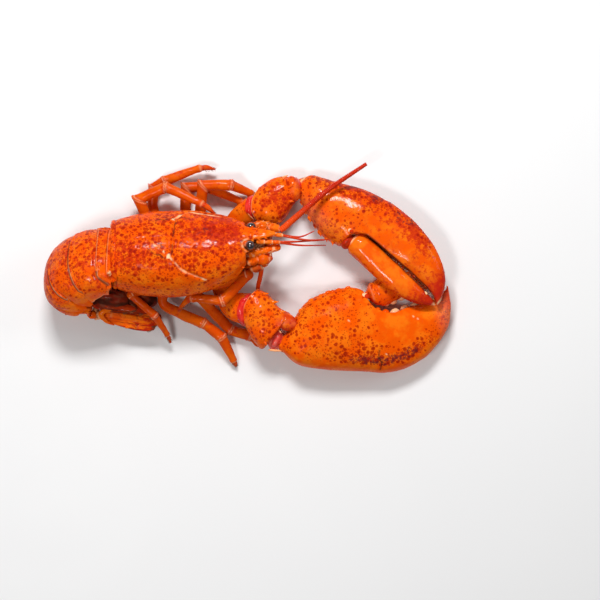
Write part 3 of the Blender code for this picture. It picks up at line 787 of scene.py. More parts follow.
def carapace():
    shell = body_skin(CARAPACE, 120, 160, 2.25, 3.6, (0.4, 1.2))
    beak = body_skin(ROSTRUM, 60, 40, 2, 2, (0.5, 0.6))
    beak.points[..., 1] += ROSTRUM_ASIDE * (1 - 0.6 * rise(beak.points[..., 0], 97, 112))
    cutters = []
    for side, word in SIDES:
        s, u, v = EYE_PLACES[word]
        eye_hollow = (s + 1.6, u + side * 0.6, v - 0.3 - (side > 0))
        cutters.append(lump(BODY, eye_hollow, (5.2, 3.8, 4.2), 28, 18, side * 18))
    body, normals = joined_solid("carapace", [shell, beak], cutters)
    s, u, v = body.points.T
    angle = np.degrees(np.arctan2(u, v))
    reach = np.hypot(u, v)
    arc = np.radians(angle) * reach

    def path_distance(path):
        """The path's angles and the points' become lengths round a back of even girth."""
        path = [(along, radians(turn) * BACK_RADIUS) for along, turn in path]
        return near_path(s, np.radians(angle) * BACK_RADIUS, path)

    before_margin = margin_at(angle) - s
    groove = np.minimum(path_distance(NECK_GROOVE), path_distance(NECK_GROOVE_LEFT))
    orbit = np.full(len(s), np.inf)
    for centre in EYE_PLACES.values():
        orbit = np.minimum(orbit, np.linalg.norm((body.points - centre) / (1.15, 1, 1), axis=1))
    push = -0.85 * hump(groove, 0, 0.8) + 0.35 * hump(groove, 2.2, 1.3)
    push += 0.2 * body.grain(9, 1) + 0.1 * body.grain(3.6, 2)
    push += 0.55 * fall(s, -1.2, -0.2) - 0.45 * hump(s, 0.1, 0.6)
    push += 0.35 * hump(before_margin, 1.2, 0.9) * (before_margin > 0)
    push -= 2.6 * rise(-before_margin, 0, 1) * (abs(angle) > 26) * (orbit > 5)
    push -= 0.1 * hump(arc, 0, 0.5) * rise(s, 3, 6) * fall(s, 34, 38) * rise(v, 5, 10)
    push += 0.3 * hump(orbit, 5, 0.6) * (s < 92) * (s > 80)
    push -= 0.12 * body.clouds(1.5, 4, 0.35, 0.8) * rise(v, -14, -8)
    push += 0.22 * body.grain(2.6, 21) * rise(s, 86, 92)
    body.points = body.points + normals * push[:, None]

    back = fall(abs(angle), 44, 74)
    crown = hump(s, 72, 20) * hump(angle, 12, 34)
    tinted = 0.3 * back + 0.36 * crown + 0.2 * hump(s, 12, 12) * hump(angle, -30, 26)
    middle = hump(s, 38, 17) * hump(angle, -8, 30)
    cream = np.minimum(path_distance(GROOVE_CREAM), path_distance(GROOVE_CREAM_LEFT))
    cream = cream + 0.45 * body.grain(4, 15) + 0.2 * body.grain(1.4, 16)
    broken = body.clouds(5, 17, -0.9, -0.2)
    mottled = np.maximum(rise(s, 34.5, 36.5), 0.6 * body.clouds(1.6, 22, -0.1, 0.4))
    blobs = []
    for at, turn, size in CREAM_BLOBS:
        gone = np.hypot(s - at, (angle - turn) * radians(BACK_RADIUS))
        blobs.append(fall(gone + 0.6 * body.grain(1.5, 5), size * 0.4, size * 0.9))
    behind = fall(s, 88, 91) * rise(-u, 0, 3)
    groove_line = groove + 0.35 * body.grain(3, 18)
    marks = np.minimum(near_path(s, arc, WAVY_MARK), near_path(s, arc, SCRATCH)) + 0.5 * body.grain(1.6, 20)
    body.brush(
        stain=(
            tinted * (1 - 0.75 * rise(s, 84, 94)) + 0.14,
            0.44 * rise(angle, 34, 52) * fall(s, 80, 88),
            0.62 * rise(-v, -3, 10),
            0.45 * rise(-before_margin, 0.4, 1.2) * (abs(angle) > 26),
        ),
        spots=0.62 + 0.32 * back * (1 - 0.6 * rise(s, 72, 88)),
        matt=(0.85 * middle, 0.85 * rise(-v, -6, 6), 0.75 * rise(-angle, 20, 36) * fall(s, 62, 70)),
        glaze=0.8 * hump(s, 68, 9) * hump(angle, -7, 7) + 0.45 * hump(s, 8, 6) * hump(angle, -20, 12),
        plain=rise(s, 76, 88) * rise(abs(angle), 24, 40) * 0.9 + rise(s, 98, 104) * 0.8,
        bruise=(
            0.74 * hump(s, 60, 16) * hump(angle, 10, 20) + 0.78 * hump(s, 30, 7) * hump(angle, -14, 14),
            0.82 * hump(s, 36, 9) * hump(angle, 36, 12) + 0.62 * hump(s, 88, 6) * hump(angle, 6, 12),
        ),
        cream=(
            0.85 * fall(cream, 0.2, 0.75) * broken * mottled,
            *blobs,
            0.7 * hump(orbit, 4.3, 0.7) * behind * body.clouds(2.5, 6, -0.8, 0.1),
            rise(s, 108.2, 109.2) * 0.8,
            0.35 * fall(s, -3.2, -2.4),
        ),
        dark=(
            0.6 * hump(orbit, 5.5, 0.3) * behind,
            0.6 * fall(s, -3.6, -3),
            0.75 * fall(groove_line, 0.15, 0.6) * fall(abs(angle), 26, 34) * (s < 50),
            0.45 * hump(s, 0, 0.3) * rise(v, -8, 0) * body.clouds(6, 19, -0.3, 0.3),
            0.65 * fall(marks, 0.15, 0.6),
            0.85 * hump(before_margin, -0.2, 0.55) * (abs(angle) > 30),
            0.8 * fall(orbit, 3.2, 4.3),
        ),
        red=0.85 * hump(s, 0.1, 0.42) * rise(v, -14, -6),
    )
    for side, _ in SIDES:
        for at in BEAK_SPINES:
            aside = side * column_at(at, ROSTRUM, 1) * 0.95 + ROSTRUM_ASIDE * 0.9
            SPINES.add(BODY, (at, aside, 21.8), (0.75, side * 0.6, 0.25), 0.7)
        for at, turn, size in NECK_SPINES:
            reach = 21.6 if turn < 50 else 19.5
            root = (at, side * reach * sin(radians(turn)), reach * cos(radians(turn)))
            SPINES.add(BODY, root, (0.85, side * 0.35, 0.45), size)
    piece("carapace_shell", [body], "carapace")


# ---------------- tail

# The first ring runs straight back: its front, rear, half width, meat, reach and shift.
FIRST_RING = (6.3, -0.9, 22.4, 26, 19.5, 2.4)
# Each later ring: its angles round the curl, half width, thickness of its meat, reach of its
# side lobes towards the hub, how far it sits to the left, and how far its lobes flare
# forwards and back.
TAIL_RINGS = (
    (90.6, 120, 26, 27, 2.5, 0.8, 8, 5), (120.8, 151.6, 25.8, 27, 5.5, -0.7, 2, 4),
    (152.4, 188, 26.4, 27, 9, -1, 1, 2), (188.8, 221, 24.2, 20, 12, -1.6, 0, 0.5),
    (221.8, 254, 21, 14, 14.5, -1.8, 0, 0),
)
# How far the lower edge of a ring's lobe lies from the hub, beyond its reach: share, distance.
LOBE_EDGE = ((-0.1, 13), (0, 11), (0.12, 7), (0.3, 3), (0.55, 0), (0.8, 0.5), (0.95, 4), (1.04, 7))
LONG_LOBE_EDGE = (
    (-0.1, 19), (-0.05, 16), (0, 13.4), (0.06, 11), (0.12, 9.4), (0.25, 7.2), (0.45, 5.3), (0.7, 3.9),
    (0.9, 4), (1.04, 6.5),
)
RING_SWELL = 0.04
LAST_TAPER = 0.17
TUCK = 2.6  # degrees that a ring's front runs on under the ring before it
WALL = 2
ACROSS = np.array((0, 1, 0))


def curl_at(turn):
    """Distance from the curl's hub to the back of the tail at an angle, and the way out and along."""
    height = CURL_TOP if sin(turn) >= 0 else CURL_BOTTOM
    out = np.array((CURL_REAR * cos(turn), 0, height * sin(turn)))
    radius = np.linalg.norm(out)
    along = np.array((-sin(turn), 0, cos(turn)))
    return radius, out / radius, along


def ring_outline(half_width, radius, shoulder, tip, belly):
    """A cross section of a ring from its left lobe over the back to the right one and the belly."""
    across, up = oval(np.linspace(0, pi, 91), 2.3)
    arch = np.stack([half_width * across, shoulder + (radius - shoulder) * up], axis=1)
    down = np.linspace(0, 1, 15)[1:]
    low = shoulder + (tip + WALL / 2 - shoulder) * down
    wall = np.stack([-half_width * (1 - 0.06 * down**2), low], axis=1)
    bends = np.linspace(pi, 2 * pi, 8)[1:]
    edge = wall[-1] + (WALL / 2, 0) + np.stack([np.cos(bends), np.sin(bends)], axis=1) * WALL / 2
    inner = np.linspace(0, 1, 8)[1:, None]
    back_up = edge[-1] + ((-half_width * 0.8, belly) - edge[-1]) * inner
    floor = np.linspace(back_up[-1], (0, belly - 0.8), 8)[1:]
    half = np.concatenate([wall, edge, back_up, floor])
    left = half[::-1] * (-1, 1)
    return np.concatenate([arch, half, left[1:]])


def tail_ring(number, start, end, half_width, meat, reach, shift, flare_front, flare_back):
    """One ring of the tail: its back plate with a lip behind, two side lobes and the belly."""
    shares = np.linspace(-TUCK / (end - start), 1.035, 46)
    hub = np.array((0, shift, CURL_HUB_V))
    rings, grids = [], []
    for share in shares:
        edge = (2 * share - 1) ** 2
        radius, out, along = curl_at(radians(start + (end - start) * share))
        width = half_width * (1 - RING_SWELL * min(edge, 1))
        width = width * (1 - LAST_TAPER * rise(share, 0, 1) * (number == 6))
        tip = reach + np.interp(share, *zip(*(LONG_LOBE_EDGE if number == 2 else LOBE_EDGE)))
        shoulder = radius * 0.42 + reach * 0.3
        belly = max(radius - meat, reach + 3)
        line = ring_outline(width, radius, max(shoulder, tip + 1), tip, belly)
        top = shoulder + (14 if number == 2 else 6)
        down = np.clip((top - line[:, 1]) / (top - tip), 0, 1)
        low = rise(np.clip((shoulder + 6 - line[:, 1]) / (shoulder + 6 - reach), 0, 1), 0, 1)
        bulge = rise(down, 0, 0.55) * (1 - 0.25 * rise(down, 0.6, 1.05))
        spread = np.where(share < 0.5, flare_front, flare_back) * max(2 * share - 1, -1) * bulge
        rings.append(hub + out * line[:, 1:] + along * spread[:, None] + ACROSS * line[:, :1])
        grids.append(np.stack([line[:, 0] / width, line[:, 1], low, down], axis=1))
    skin = Skin(rings, TAIL)
    share = shares[:, None]
    across, height, low, down_share = np.moveaxis(np.array(grids), -1, 0)
    outside = rise(height, np.max(height) * 0.2 + reach * 0.4, np.max(height) * 0.3 + reach * 0.4)
    outside = np.maximum(outside, (abs(across) > 0.9) * 1)
    push = -0.9 * fall(share, -0.02, 0.07) - 1 * rise(share, 1.01, 1.035)
    push = push + 0.32 * hump(share, 0.975, 0.028) - 0.22 * hump(share, 0.9, 0.02)
    push = push - 0.2 * hump(share, 0.15, 0.03) * (1 - low)
    push = push * outside + 0.1 * skin.grain(6, number) + 0.05 * skin.grain(2.4, number + 9)
    skin.push(push + low * 0.9 * outside * rise(share, 0.45, 0.8))
    back = rise(height, radius * 0.35, radius * 0.75)
    over_back = outside * fall(low, 0, 0.25)
    seam = hump(share + 0.006 * skin.grain(2, 5), -0.004, 0.014)
    pale_seams = {2: 0.55 * over_back, 3: 0.55 * over_back, 4: 0.75 * outside * fall(low, 0.5, 0.9)}
    down_side = outside * fall(low, 0.8, 1) if number in (3, 4) else over_back
    # Low on the lobes just before the rear edge: a painted line of shade under the rim's step.
    behind = hump(share, 1, 0.016) * low
    # A raised lip along the second ring's lower lobe edge, with a painted highlight line on it.
    lip = hump(down_share, 0.97, 0.03) * (abs(across) > 0.85) * (number == 2)
    skin.brush(
        stain=0.36 * back + 0.08 + 0.16 * hump(share, 0.08, 0.08),
        spots=(0.16 + 0.62 * back) * rise(share, 0.02, 0.08),
        plain=low * 0.24,
        matt=0.12 + 0.78 * low,
        glaze=0.55 * skin.clouds(3.2, number + 30, 0.05, 0.4) * (1 - low),
        cream=(
            seam * pale_seams.get(number, 0.7 * over_back),
            0.65 * hump(share, 1.012, 0.014) * low * (number == 3),
            # A painted highlight along the lip.
            0.3 * lip,
        ),
        dark=(
            # Painted shade just behind the front seam, where the ring runs under the one before.
            0.95 * hump(share, 0.022, 0.018) * down_side + 0.15 * seam * over_back,
            # Painted shade on the rear edge, which runs under the next ring.
            0.65 * rise(share, 1.012, 1.03) * outside,
            # The line of painted shade under the rim's step, dark on the second ring.
            0.6 * behind * (number == 2),
        ),
        # The same painted line of shade, deep red on all rings but the third.
        red=0.55 * behind * (number != 3),
    )
    skin.push(0.5 * lip)
    inside = (1 - outside) * (abs(across) < 0.9)
    blotch = 0.5 * hump(down_share, 0.3, 0.16) * hump(share, 0.3, 0.16) * skin.clouds(3, 4, -0.3, 0.4)
    # The pink on the inner walls is a painted sheen of light.
    skin.brush(red=blotch, blush=inside * 0.55, stain=inside * 0.5)
    piece(f"tail_ring_{number}", [skin], f"abdomen_{number}")


def first_tail_ring():
    """The narrow ring that slides under the carapace, with a lobe that leans forward at each side's end."""
    front, rear, half_width, meat, reach, shift = FIRST_RING
    radius, out, _ = curl_at(pi / 2)
    shares = np.linspace(-0.25, 1.12, 34)
    rings, grids = [], []
    for share in shares:
        tip = reach + 2.5 - 4.5 * (1 - min(abs(share - 0.42) / 0.7, 1) ** 2.4)
        line = ring_outline(half_width, radius, max(radius * 0.42 + reach * 0.3, tip + 1), tip, radius - meat)
        down = np.clip((reach + 10 - line[:, 1]) / 10, 0, 1) * (abs(line[:, 0]) > half_width * 0.9)
        hub = np.array((front + (rear - front) * share, shift, CURL_HUB_V))
        lean = np.outer(rise(down, 0, 0.6) * (1 - 0.6 * rise(down, 0.6, 1)) * (4.6 - 2 * share), (1, 0, 0))
        rings.append(hub + out * line[:, 1:] + ACROSS * line[:, :1] + lean)
        grids.append(np.stack([line[:, 1], down], axis=1))
    skin = Skin(rings, TAIL)
    height, down = np.moveaxis(np.array(grids), -1, 0)
    share = shares[:, None]
    push = -0.9 * fall(share, 0, 0.14) + 0.35 * hump(share, 0.93, 0.08) - 1 * rise(share, 1, 1.12)
    push = push + 1.3 * rise(down, 0.2, 0.9) * (1 - 0.5 * abs(2 * share - 1) ** 3)
    skin.push(push * (height > reach - 3) + 0.08 * skin.grain(4, 3))
    back = rise(height, radius * 0.35, radius * 0.75)
    on_top = rise(height, reach + 6, reach + 12)
    under = height < reach - 3
    skin.brush(
        stain=0.34 * back + 0.14, matt=0.75, spots=(0.2 + 0.5 * back) * rise(share, 0.1, 0.3),
        plain=(1 - on_top) * 0.8,
        cream=0.3 * hump(share, 0.01, 0.03) * on_top + 0.62 * hump(share, 1.015, 0.022) * on_top,
        # Painted shade just behind the front seam and on the rear edge that runs under the next ring; the
        # underside is darker too.
        dark=(0.6 * hump(share, 0.07, 0.025) * on_top + 0.6 * hump(share, 1.06, 0.02), 0.5 * under),
        red=0.8 * under,
    )
    parts = [skin]
    for side, _ in SIDES:
        knob = lump(TAIL, (8.2, shift + side * 20.4, 20.8), (1.7, 1.5, 2.6), 24, 15, side * 20)
        knob.roughen((0.4, 1.6, 6))
        parts.append(knob.brush(cream=0.7 * knob.clouds(1.8, 3, -0.5, 0.1), plain=1))
    piece("tail_ring_1", parts, "abdomen_1")


# The plates of the tail fan: name, origin, heading, pitch, roll, length and half width.
FAN = (
    ("telson", (-106, -14, 10.5), 2, 0, -22, 36, 10.5),
    ("uropod_right_inner", (-98, -28.6, 17.6), -12, -3, -6, 37, 6.4),
    ("uropod_right_outer", (-100, -33.6, 18.2), -11, -4, 10, 35, 5.4),
    ("uropod_left_inner", (-103, 4.4, 3.9), -2, 0, -8, 38, 7.5),
    ("uropod_left_outer", (-102, 17.5, 1.8), 2, 0, 0, 40, 8),
)
PLATE_THICKNESS = 2.2
PLATE_OUTLINE = ((0, 0.34), (0.1, 0.6), (0.32, 0.88), (0.62, 1), (0.86, 0.9), (1, 0.62))
# The hooked shell at each side of the fan's root, and its spines: points with their radius.
FAN_HOOKS = (
    (
        (
            (-93.2, -29, 20.4, 1), (-98.2, -29.4, 21.4, 1.7), (-101.4, -31.8, 21.4, 1.9),
            (-100.4, -35.2, 20.6, 1.6),
        ),
        ((-100.8, -34.4, 20.8, 1.6), (-97.4, -37.4, 19.8, 1.2), (-92.6, -39.8, 18.8, 0.35)),
    ),
    (
        ((-96, 6.4, 5.6, 1), (-101, 8.2, 5.6, 1.7), (-104.4, 12.4, 4.6, 1.9), (-103, 17.8, 3.4, 1.6)),
        ((-103.4, 17.4, 3.6, 1.6), (-100.4, 22, 2.6, 1.1), (-96, 24.8, 2, 0.35)),
    ),
)
# The smooth lumps that the hooks grow from: centre, half sizes.
HOOK_ROOTS = (((-96.4, -33, 16.6), (4.6, 3.2, 2)), ((-99.6, 13.2, 2.9), (4.6, 5.2, 1.9)))
# Tan bits of flesh at the fan's root: centre, half sizes.
ROOT_BITS = (
    ((-104, -33, 13), (3, 2.6, 3.4)), ((-106.4, -30.4, 11), (2.6, 3, 3.2)),
    ((-105.6, -34.6, 13.6), (1.8, 1.7, 2.2)),
)
# Soft folds and paddles under the tail: centre, half sizes, tilt.
BELLY_FOLDS = (
    ((-94, -22.5, 17), (15, 8.5, 9.5), -6), ((-78, -20.5, 13), (15, 8, 10), -8),
    ((-99, -25.5, 20), (9, 3.2, 4.2), -14), ((-86, -27.5, 17), (10, 2.6, 3.8), -5),
    ((-92, 6, 9), (14, 9, 7.5), 4),
)
# Paddles: origin, heading, pitch, roll, length, half width.
PADDLES = (
    ((-106.5, -26.4, 19.5), -7, 1, -24, 23, 3.2), ((-100.5, -25, 23.5), -9, 0, -30, 22, 3),
    ((-93, -27.8, 19.8), -6, 0, -20, 20, 3), ((-84, -27, 20.5), -12, 2, -26, 18, 2.8),
    ((-104, -3, 8), 4, 3, 6, 24, 4), ((-95, 10, 7.5), 8, 4, 14, 22, 4),
    ((-86, 2, 10), 2, 2, 4, 20, 3.8),
)


def fringe(place, length, half_width, count, size):
    """Hairs that stand round the end of a flat plate."""
    turns = np.linspace(-0.42 * pi, 0.42 * pi, count)
    width = half_width * 0.86
    along, aside = np.cos(turns), np.sin(turns)
    roots = np.stack([length * 0.84 + (length * 0.17) * along, width * aside, 0 * turns], axis=1)
    aims = np.stack([along + 0.5, aside * 0.7, 0 * turns], axis=1)
    for layer in (-0.3, 0.3):
        sizes = size * BRISTLES.random.uniform(0.9, 1.5, len(roots))
        BRISTLES.add(place, roots + (0, 0, layer), aims, sizes)


def leaf(place, length, half_width, thickness, count=64, sides=84):
    """A flat plate, narrow at its root, with its half width at each share of its length."""
    rows = []
    for share, width in PLATE_OUTLINE:
        thick = thickness * (1 - 0.35 * share) / 2
        rows.append((length * share, -half_width * width, half_width * width, -thick, thick))
    return box_loft(place, rows, count, sides, 2.8, (1, 1.6))


def fan_plate(name, origin, heading, pitch, roll, length, half_width):
    """A leaf of the tail fan: a low rib, a thin dark rim and a fringe of hairs round its end."""
    place = frame_at(origin, heading, pitch, roll)
    plate = leaf(place, length, half_width, PLATE_THICKNESS)
    x, y, z = plate.xyz()
    across = y / half_width
    share = x / length
    over = np.sign(z)
    rib = abs(across + 0.25 - 0.3 * share)
    ribs = 0.3 * hump(rib, 0, 0.1) - 0.35 * hump(rib, 0.17, 0.035)
    rim = rise(np.hypot(across, np.maximum(share - 0.55, 0) * 2), 0.78, 0.95)
    lift = ribs * fall(share, 0.8, 0.95) + 0.3 * hump(abs(across), 0.72, 0.08) - 0.35 * rim
    lift = lift + 0.1 * plate.grain(3, 7)
    if "outer" in name:
        # The outer leaf is hinged across: a toothed line at two thirds of its length.
        hinge_line = share - 0.68 + 0.05 * across**2
        lift = lift - 0.45 * hump(hinge_line, 0, 0.018)
        plate.brush(dark=0.7 * hump(hinge_line, 0, 0.012))
        for at in np.linspace(-0.75, 0.75, 7):
            root = (length * (0.67 - 0.05 * at**2), half_width * at, PLATE_THICKNESS * 0.36)
            SPINES.add(place, root, (1, 0.1 * at, 0.15), 0.22)
    plate.points[..., 2] = z + over * lift * 0.8
    fold = grain(plate.points * (0.25, 1.6, 1), 2.4, 21)
    plate.brush(
        stain=0.34 + 0.3 * rim + 0.2 * rise(share, 0.7, 1) + 0.16 * fold,
        red=(0.9 * rise(-across, 0.62, 0.9) * rise(share, 0.25, 0.5), 0.55 * hump(rib, 0.17, 0.05)),
        matt=0.5, plain=0.7,
        dark=0.55 * hump(abs(across), 0.97, 0.05) + 0.6 * hump(rib, 0.17, 0.025) * rise(share, 0.2, 0.4),
        cream=0.25 * hump(share, 0.1, 0.05) * plate.clouds(2, 9, 0.1, 0.5),
        bruise=0.35 * rise(share, 0.75, 1),
    )
    fringe(place, length, half_width, 70, 0.55)
    piece(name + "_leaf", [plate], name)


def under_tail():
    """The hooks at the fan's root, and the folds and paddles between tail, fan and breast, red-brown and
    painted dark with the shade of the hollow they lie in.
    """
    hooks = []
    for stretches in FAN_HOOKS:
        for end, points in enumerate(stretches):
            hook = tube_loft(points, 44, 26, 0.8).roughen((0.12, 2, 5))
            share = hook.along()
            red = 0.5 * rise(share, 0.6, 1) if end else 0.5 * hump(share, 0.02, 0.06)
            hooks.append(hook.brush(red=red, cream=0.6 * (1 - end) * hump(share, 0.08, 0.06), plain=0.8))
    for at, radii in HOOK_ROOTS:
        root = lump(HERE, at, radii, 30, 20, -20).roughen((0.15, 2, 6))
        hooks.append(root.brush(plain=0.7, red=0.5 * root.clouds(3, 2, 0.1, 0.5)))
    filler = lump(HERE, (-108.6, -32.6, 14), (3.6, 3, 3.4), 26, 18, -24)
    hooks.append(filler.roughen((0.3, 2, 7)).brush(plain=0.8))
    for at, radii in ROOT_BITS:
        bit = lump(HERE, at, radii, 26, 18, 30).roughen((0.45, 1.6, 8))
        hooks.append(bit.brush(cream=0.5 + 0.4 * bit.grain(1.8, 4), dark=0.6 * bit.clouds(1.4, 5, 0, 0.5)))
    SPINES.add(HERE, (-85, -41, 17.6), (1, -0.42, -0.1), 1.1)
    SPINES.add(HERE, (-79, -42.2, 16.8), (1, -0.25, -0.1), 0.5)
    piece("fan_hooks", hooks)

    folds = []
    for number, (centre, radii, tilt) in enumerate(BELLY_FOLDS):
        fold = lump(HERE, centre, radii, 60, 40, tilt)
        creases = grain(fold.points * (0.35, 1, 1), 3.2, 30 + number)
        fold.push(0.9 * creases + 0.3 * fold.grain(2, 40 + number))
        streaks = rise(grain(fold.points * (0.3, 1, 1), 1.3, 70 + number), 0.25, 0.6)
        # Painted shade of the hollow under the tail, darker still in the creases.
        dark = 0.66 + 0.26 * rise(-creases, -0.1, 0.4)
        folds.append(fold.brush(red=0.8, dark=dark, cream=0.22 * streaks, matt=0.6))
    for number, (origin, heading, pitch, roll, length, half_width) in enumerate(PADDLES):
        place = frame_at(origin, heading, pitch, roll)
        paddle = leaf(place, length, half_width, 1.4, 44, 40)
        across = paddle.points[..., 1] / half_width
        paddle.push(0.25 * hump(across, 0, 0.15) + 0.15 * paddle.grain(2.4, 50 + number))
        red = 0.75 + 0.2 * paddle.grain(3, 60 + number)
        # The paddles too are painted dark as shade of the hollow, darker towards their edges.
        folds.append(paddle.brush(red=red, dark=0.3 + 0.4 * rise(abs(across), 0.6, 0.95), plain=1))
        fringe(place, length, half_width, 40, 0.8)
    piece("under_tail_folds", folds)


def tail():
    first_tail_ring()
    for number, row in enumerate(TAIL_RINGS, 2):
        tail_ring(number, *row)
    for row in FAN:
        fan_plate(*row)
    under_tail()


# ---------------- head

ANTENNA_RIGHT = (
    (10.2, 2, 35, 1.5), (9.6, -3, 31, 1.5), (8.4, -8.5, 25, 1.5), (7.2, -12.6, 16, 1.4),
    (7.4, -17.5, 7, 1.4), (11, -26, 2.9, 1.4), (18, -37, 1.6, 1.3),
)
ANTENNA_LEFT = (
    (22.6, 25, 41, 2), (25.8, 27.4, 40.2, 2.25), (36.3, 36.8, 36.5, 2.1), (56.7, 54.2, 31.4, 1.75),
    (82, 71.3, 31, 1.25),
)
# Each antenna's foot in rounded joints: centre, half sizes, tilt, redness, and the painted shade that darkens
# the joints lying low under the others.
ANTENNA_JOINTS = {
    "left": (
        ((19, 26.6, 39.6), (5.2, 3.3, 3.8), -6, 0, 0),
        ((10.6, 27.2, 37.6), (5, 3.6, 4), 10, 0.1, 0),
        ((3.6, 26.6, 35), (4.6, 4.2, 4.6), 0, 0.2, 0.2),
        ((14.8, 24.6, 37), (4, 2.6, 3), -14, 0.5, 0.2),
        ((12, 21, 31), (5.4, 4.6, 4.4), 10, 0.3, 0.5),
    ),
    "right": (
        ((4.4, 5, 40.4), (5.2, 4.2, 3.6), 24, 0, 0),
        ((11.4, 5.8, 40), (6, 4.4, 4), 10, 0.1, 0),
        ((14.8, 9.4, 41.4), (2.1, 1.7, 1.8), 0, 0.9, 0),
        ((6.4, 0.4, 36.4), (5, 3.2, 3.6), 22, 0.3, 0.35),
        ((11.4, 2.6, 36.6), (3.4, 2.6, 2.8), -10, 0.2, 0.2),
        ((4, 8, 33), (5, 5, 5), 0, 0.4, 0.6),
    ),
}
# The scale over each foot: points with their radius.
ANTENNA_SCALES = {
    "left": ((3, 28.2, 35.6, 1.4), (8, 29.4, 36.4, 2.3), (13, 29.8, 35.6, 1.9), (18, 29.4, 34, 0.7)),
    "right": (
        (-0.4, 8.2, 42, 1.5), (6, 9.8, 43.2, 2.7), (14, 11.8, 43, 2.8), (19.6, 13.2, 42.6, 2.6),
        (21.8, 13.7, 42.4, 2.1),
    ),
}
MAXILLIPED = ((78, -13, 3.4), (90, -10, 3.8), (99, -3, 3.3), (104, 2, 2.2))
MAXILLIPED_OUT = 5.5
LIMB_JOINTS = (0.33, 0.6, 0.83)
# s, right edge, left edge, bottom, top
MOUTH_PLATE = (
    (84, -9, 9, -2, 12), (89, -8.5, 8.5, 2, 14.5), (93.5, -6.5, 6.5, 6.5, 15.5), (96.5, -4, 4, 9.5, 15),
)
# Each antennule's root, and the middle and tip of its two threads.
ANTENNULES = {
    "left": ((24, 21.5, 47.5), ((36, 20.5, 46.5), (46, 24.5, 45)), ((40, 18.5, 47), (56.5, 18.8, 46))),
    "right": ((22, 16.8, 46.5), ((36, 14.9, 44.5), (54, 15, 41)), ((37, 17.5, 45.5), (53, 18.4, 43))),
}
ANTENNULE_ASIDE = {"left": 4.4, "right": -2.4}
THREAD_RADII = (0.95, 0.62, 0.32)
THREAD = {"Pitch": 0.0009, "Depth": 0.07, "Sides": 8}
FEELER = {"Pitch": 0.0014, "Depth": 0.1, "Sides": 22}


def on_body(s, u, v):
    return np.array(BODY @ Vector((s, u, v)))


def feeler(name, tree, points, steps, paleness, *nodes, **sizes):
    """A ringed feeler along points (x, y, z, radius), as pale along its length as paleness says."""
    rows = even_rows(points, steps, 3)
    edges = zip(range(steps - 1), range(1, steps))
    pale = paleness(np.linspace(0, 1, steps))
    mesh = point_mesh(name, rows[:, :3], edges, girth=rows[:, 3] * MM, pale=pale)
    ridden(name, Tree.grow(tree, mesh, **sizes), nodes, HORN)


def eye(side, word):
    """A black eye on its short orange stalk."""
    place = BODY @ Matrix.Translation(Vector(EYE_PLACES[word])) @ Matrix.Rotation(side * 0.5, 4, "Z")
    ball = lump(place, (0.3, 0, 0), (3.4, 3.1, 3.2), 40, 26)
    x, y, _ = ball.xyz()
    ball.brush(red=rise(-x, 0.6, 2.4) * 0.8 + 0.5 * hump(np.hypot(x - 1, y), 0, 1) * (side < 0))
    piece("eye_ball_" + word, [ball], "eye_" + word, finish=EYE)
    stalk = lump(place, (-2.6, 0, -0.6), (3, 2.3, 2.4), 20, 12)
    piece("eye_stalk_" + word, [stalk.brush(cream=0.35 * stalk.clouds(1.5, 3, -0.2, 0.5), red=0.6)])


def antenna_base(side, word):
    """The jointed foot of an antenna, with the pointed scale that lies over it."""
    parts = []
    for number, (at, radii, tilt, redness, painted_shade) in enumerate(ANTENNA_JOINTS[word]):
        joint = lump(HERE, at, radii, 40, 26, tilt)
        fine = joint.grain(1.8, 70 + number)
        joint.push(0.9 * joint.grain(3.4, 80 + number) + 0.35 * fine)
        x = joint.points[..., 0]
        long = radii[0]
        joint.brush(
            cream=(
                0.75 * hump(x, long * 0.7, 0.5) * rise(fine, -0.5, 0.2),
                0.5 * hump(x, -long * 0.75, 0.6) * rise(fine, -0.3, 0.4),
            ),
            red=np.maximum(redness, 0.6 * rise(x, long * 0.8, long) * rise(fine, -0.3, 0.3)),
            dark=(
                # Painted shade: over the joints that lie low under the others, and towards each joint's
                # underside.
                np.maximum(painted_shade, 0.5 * rise(-fine, 0.45, 0.8)),
                0.6 * rise(-joint.points[..., 2], radii[2] * 0.05, radii[2] * 0.75),
                0.7 * fall(x, -long * 0.99, -long * 0.86),
            ),
            spots=0.3, stain=0.4 * joint.clouds(2.6, 60 + number, 0, 0.5),
        )
        parts.append(joint)
    scale = tube_loft(ANTENNA_SCALES[word], 64, 34, 0.75)
    along = scale.along()
    ridge = np.cos(np.roll(round_turns(34), 8)[None, :])
    scale.push(0.45 * scale.grain(2.4, 90) + 0.25 * scale.grain(1.1, 93) + 0.25 * hump(ridge, 1, 0.2))
    scale.brush(
        cream=(
            0.5 * scale.clouds(1.8, 91, 0.1, 0.4),
            0.8 * fall(along, 0.02, 0.1),
            0.8 * rise(along, 0.965, 0.99),
        ),
        red=(
            0.6 * hump(ridge, 0.5, 0.3) * scale.clouds(2.6, 94, 0, 0.4),
            0.9 * hump(along, 0.93, 0.04) * scale.clouds(2, 92, -0.5, 0.2),
        ),
        spots=0.3,
    )
    tip = np.array(ANTENNA_SCALES[word][-2][:3])
    SPINES.add(HERE, tip + (0, side * 1, 0.6), (0.95, side * 0.3, 0.1), 0.9)
    last = np.array(ANTENNA_JOINTS[word][3][0])
    bead = lump(HERE, last + (4.4, side * 0.6, 1.2), (0.9, 0.8, 0.8), 16, 11).brush(cream=1)
    piece("antenna_foot_" + word, [*parts, scale, bead], "antenna_base_" + word)


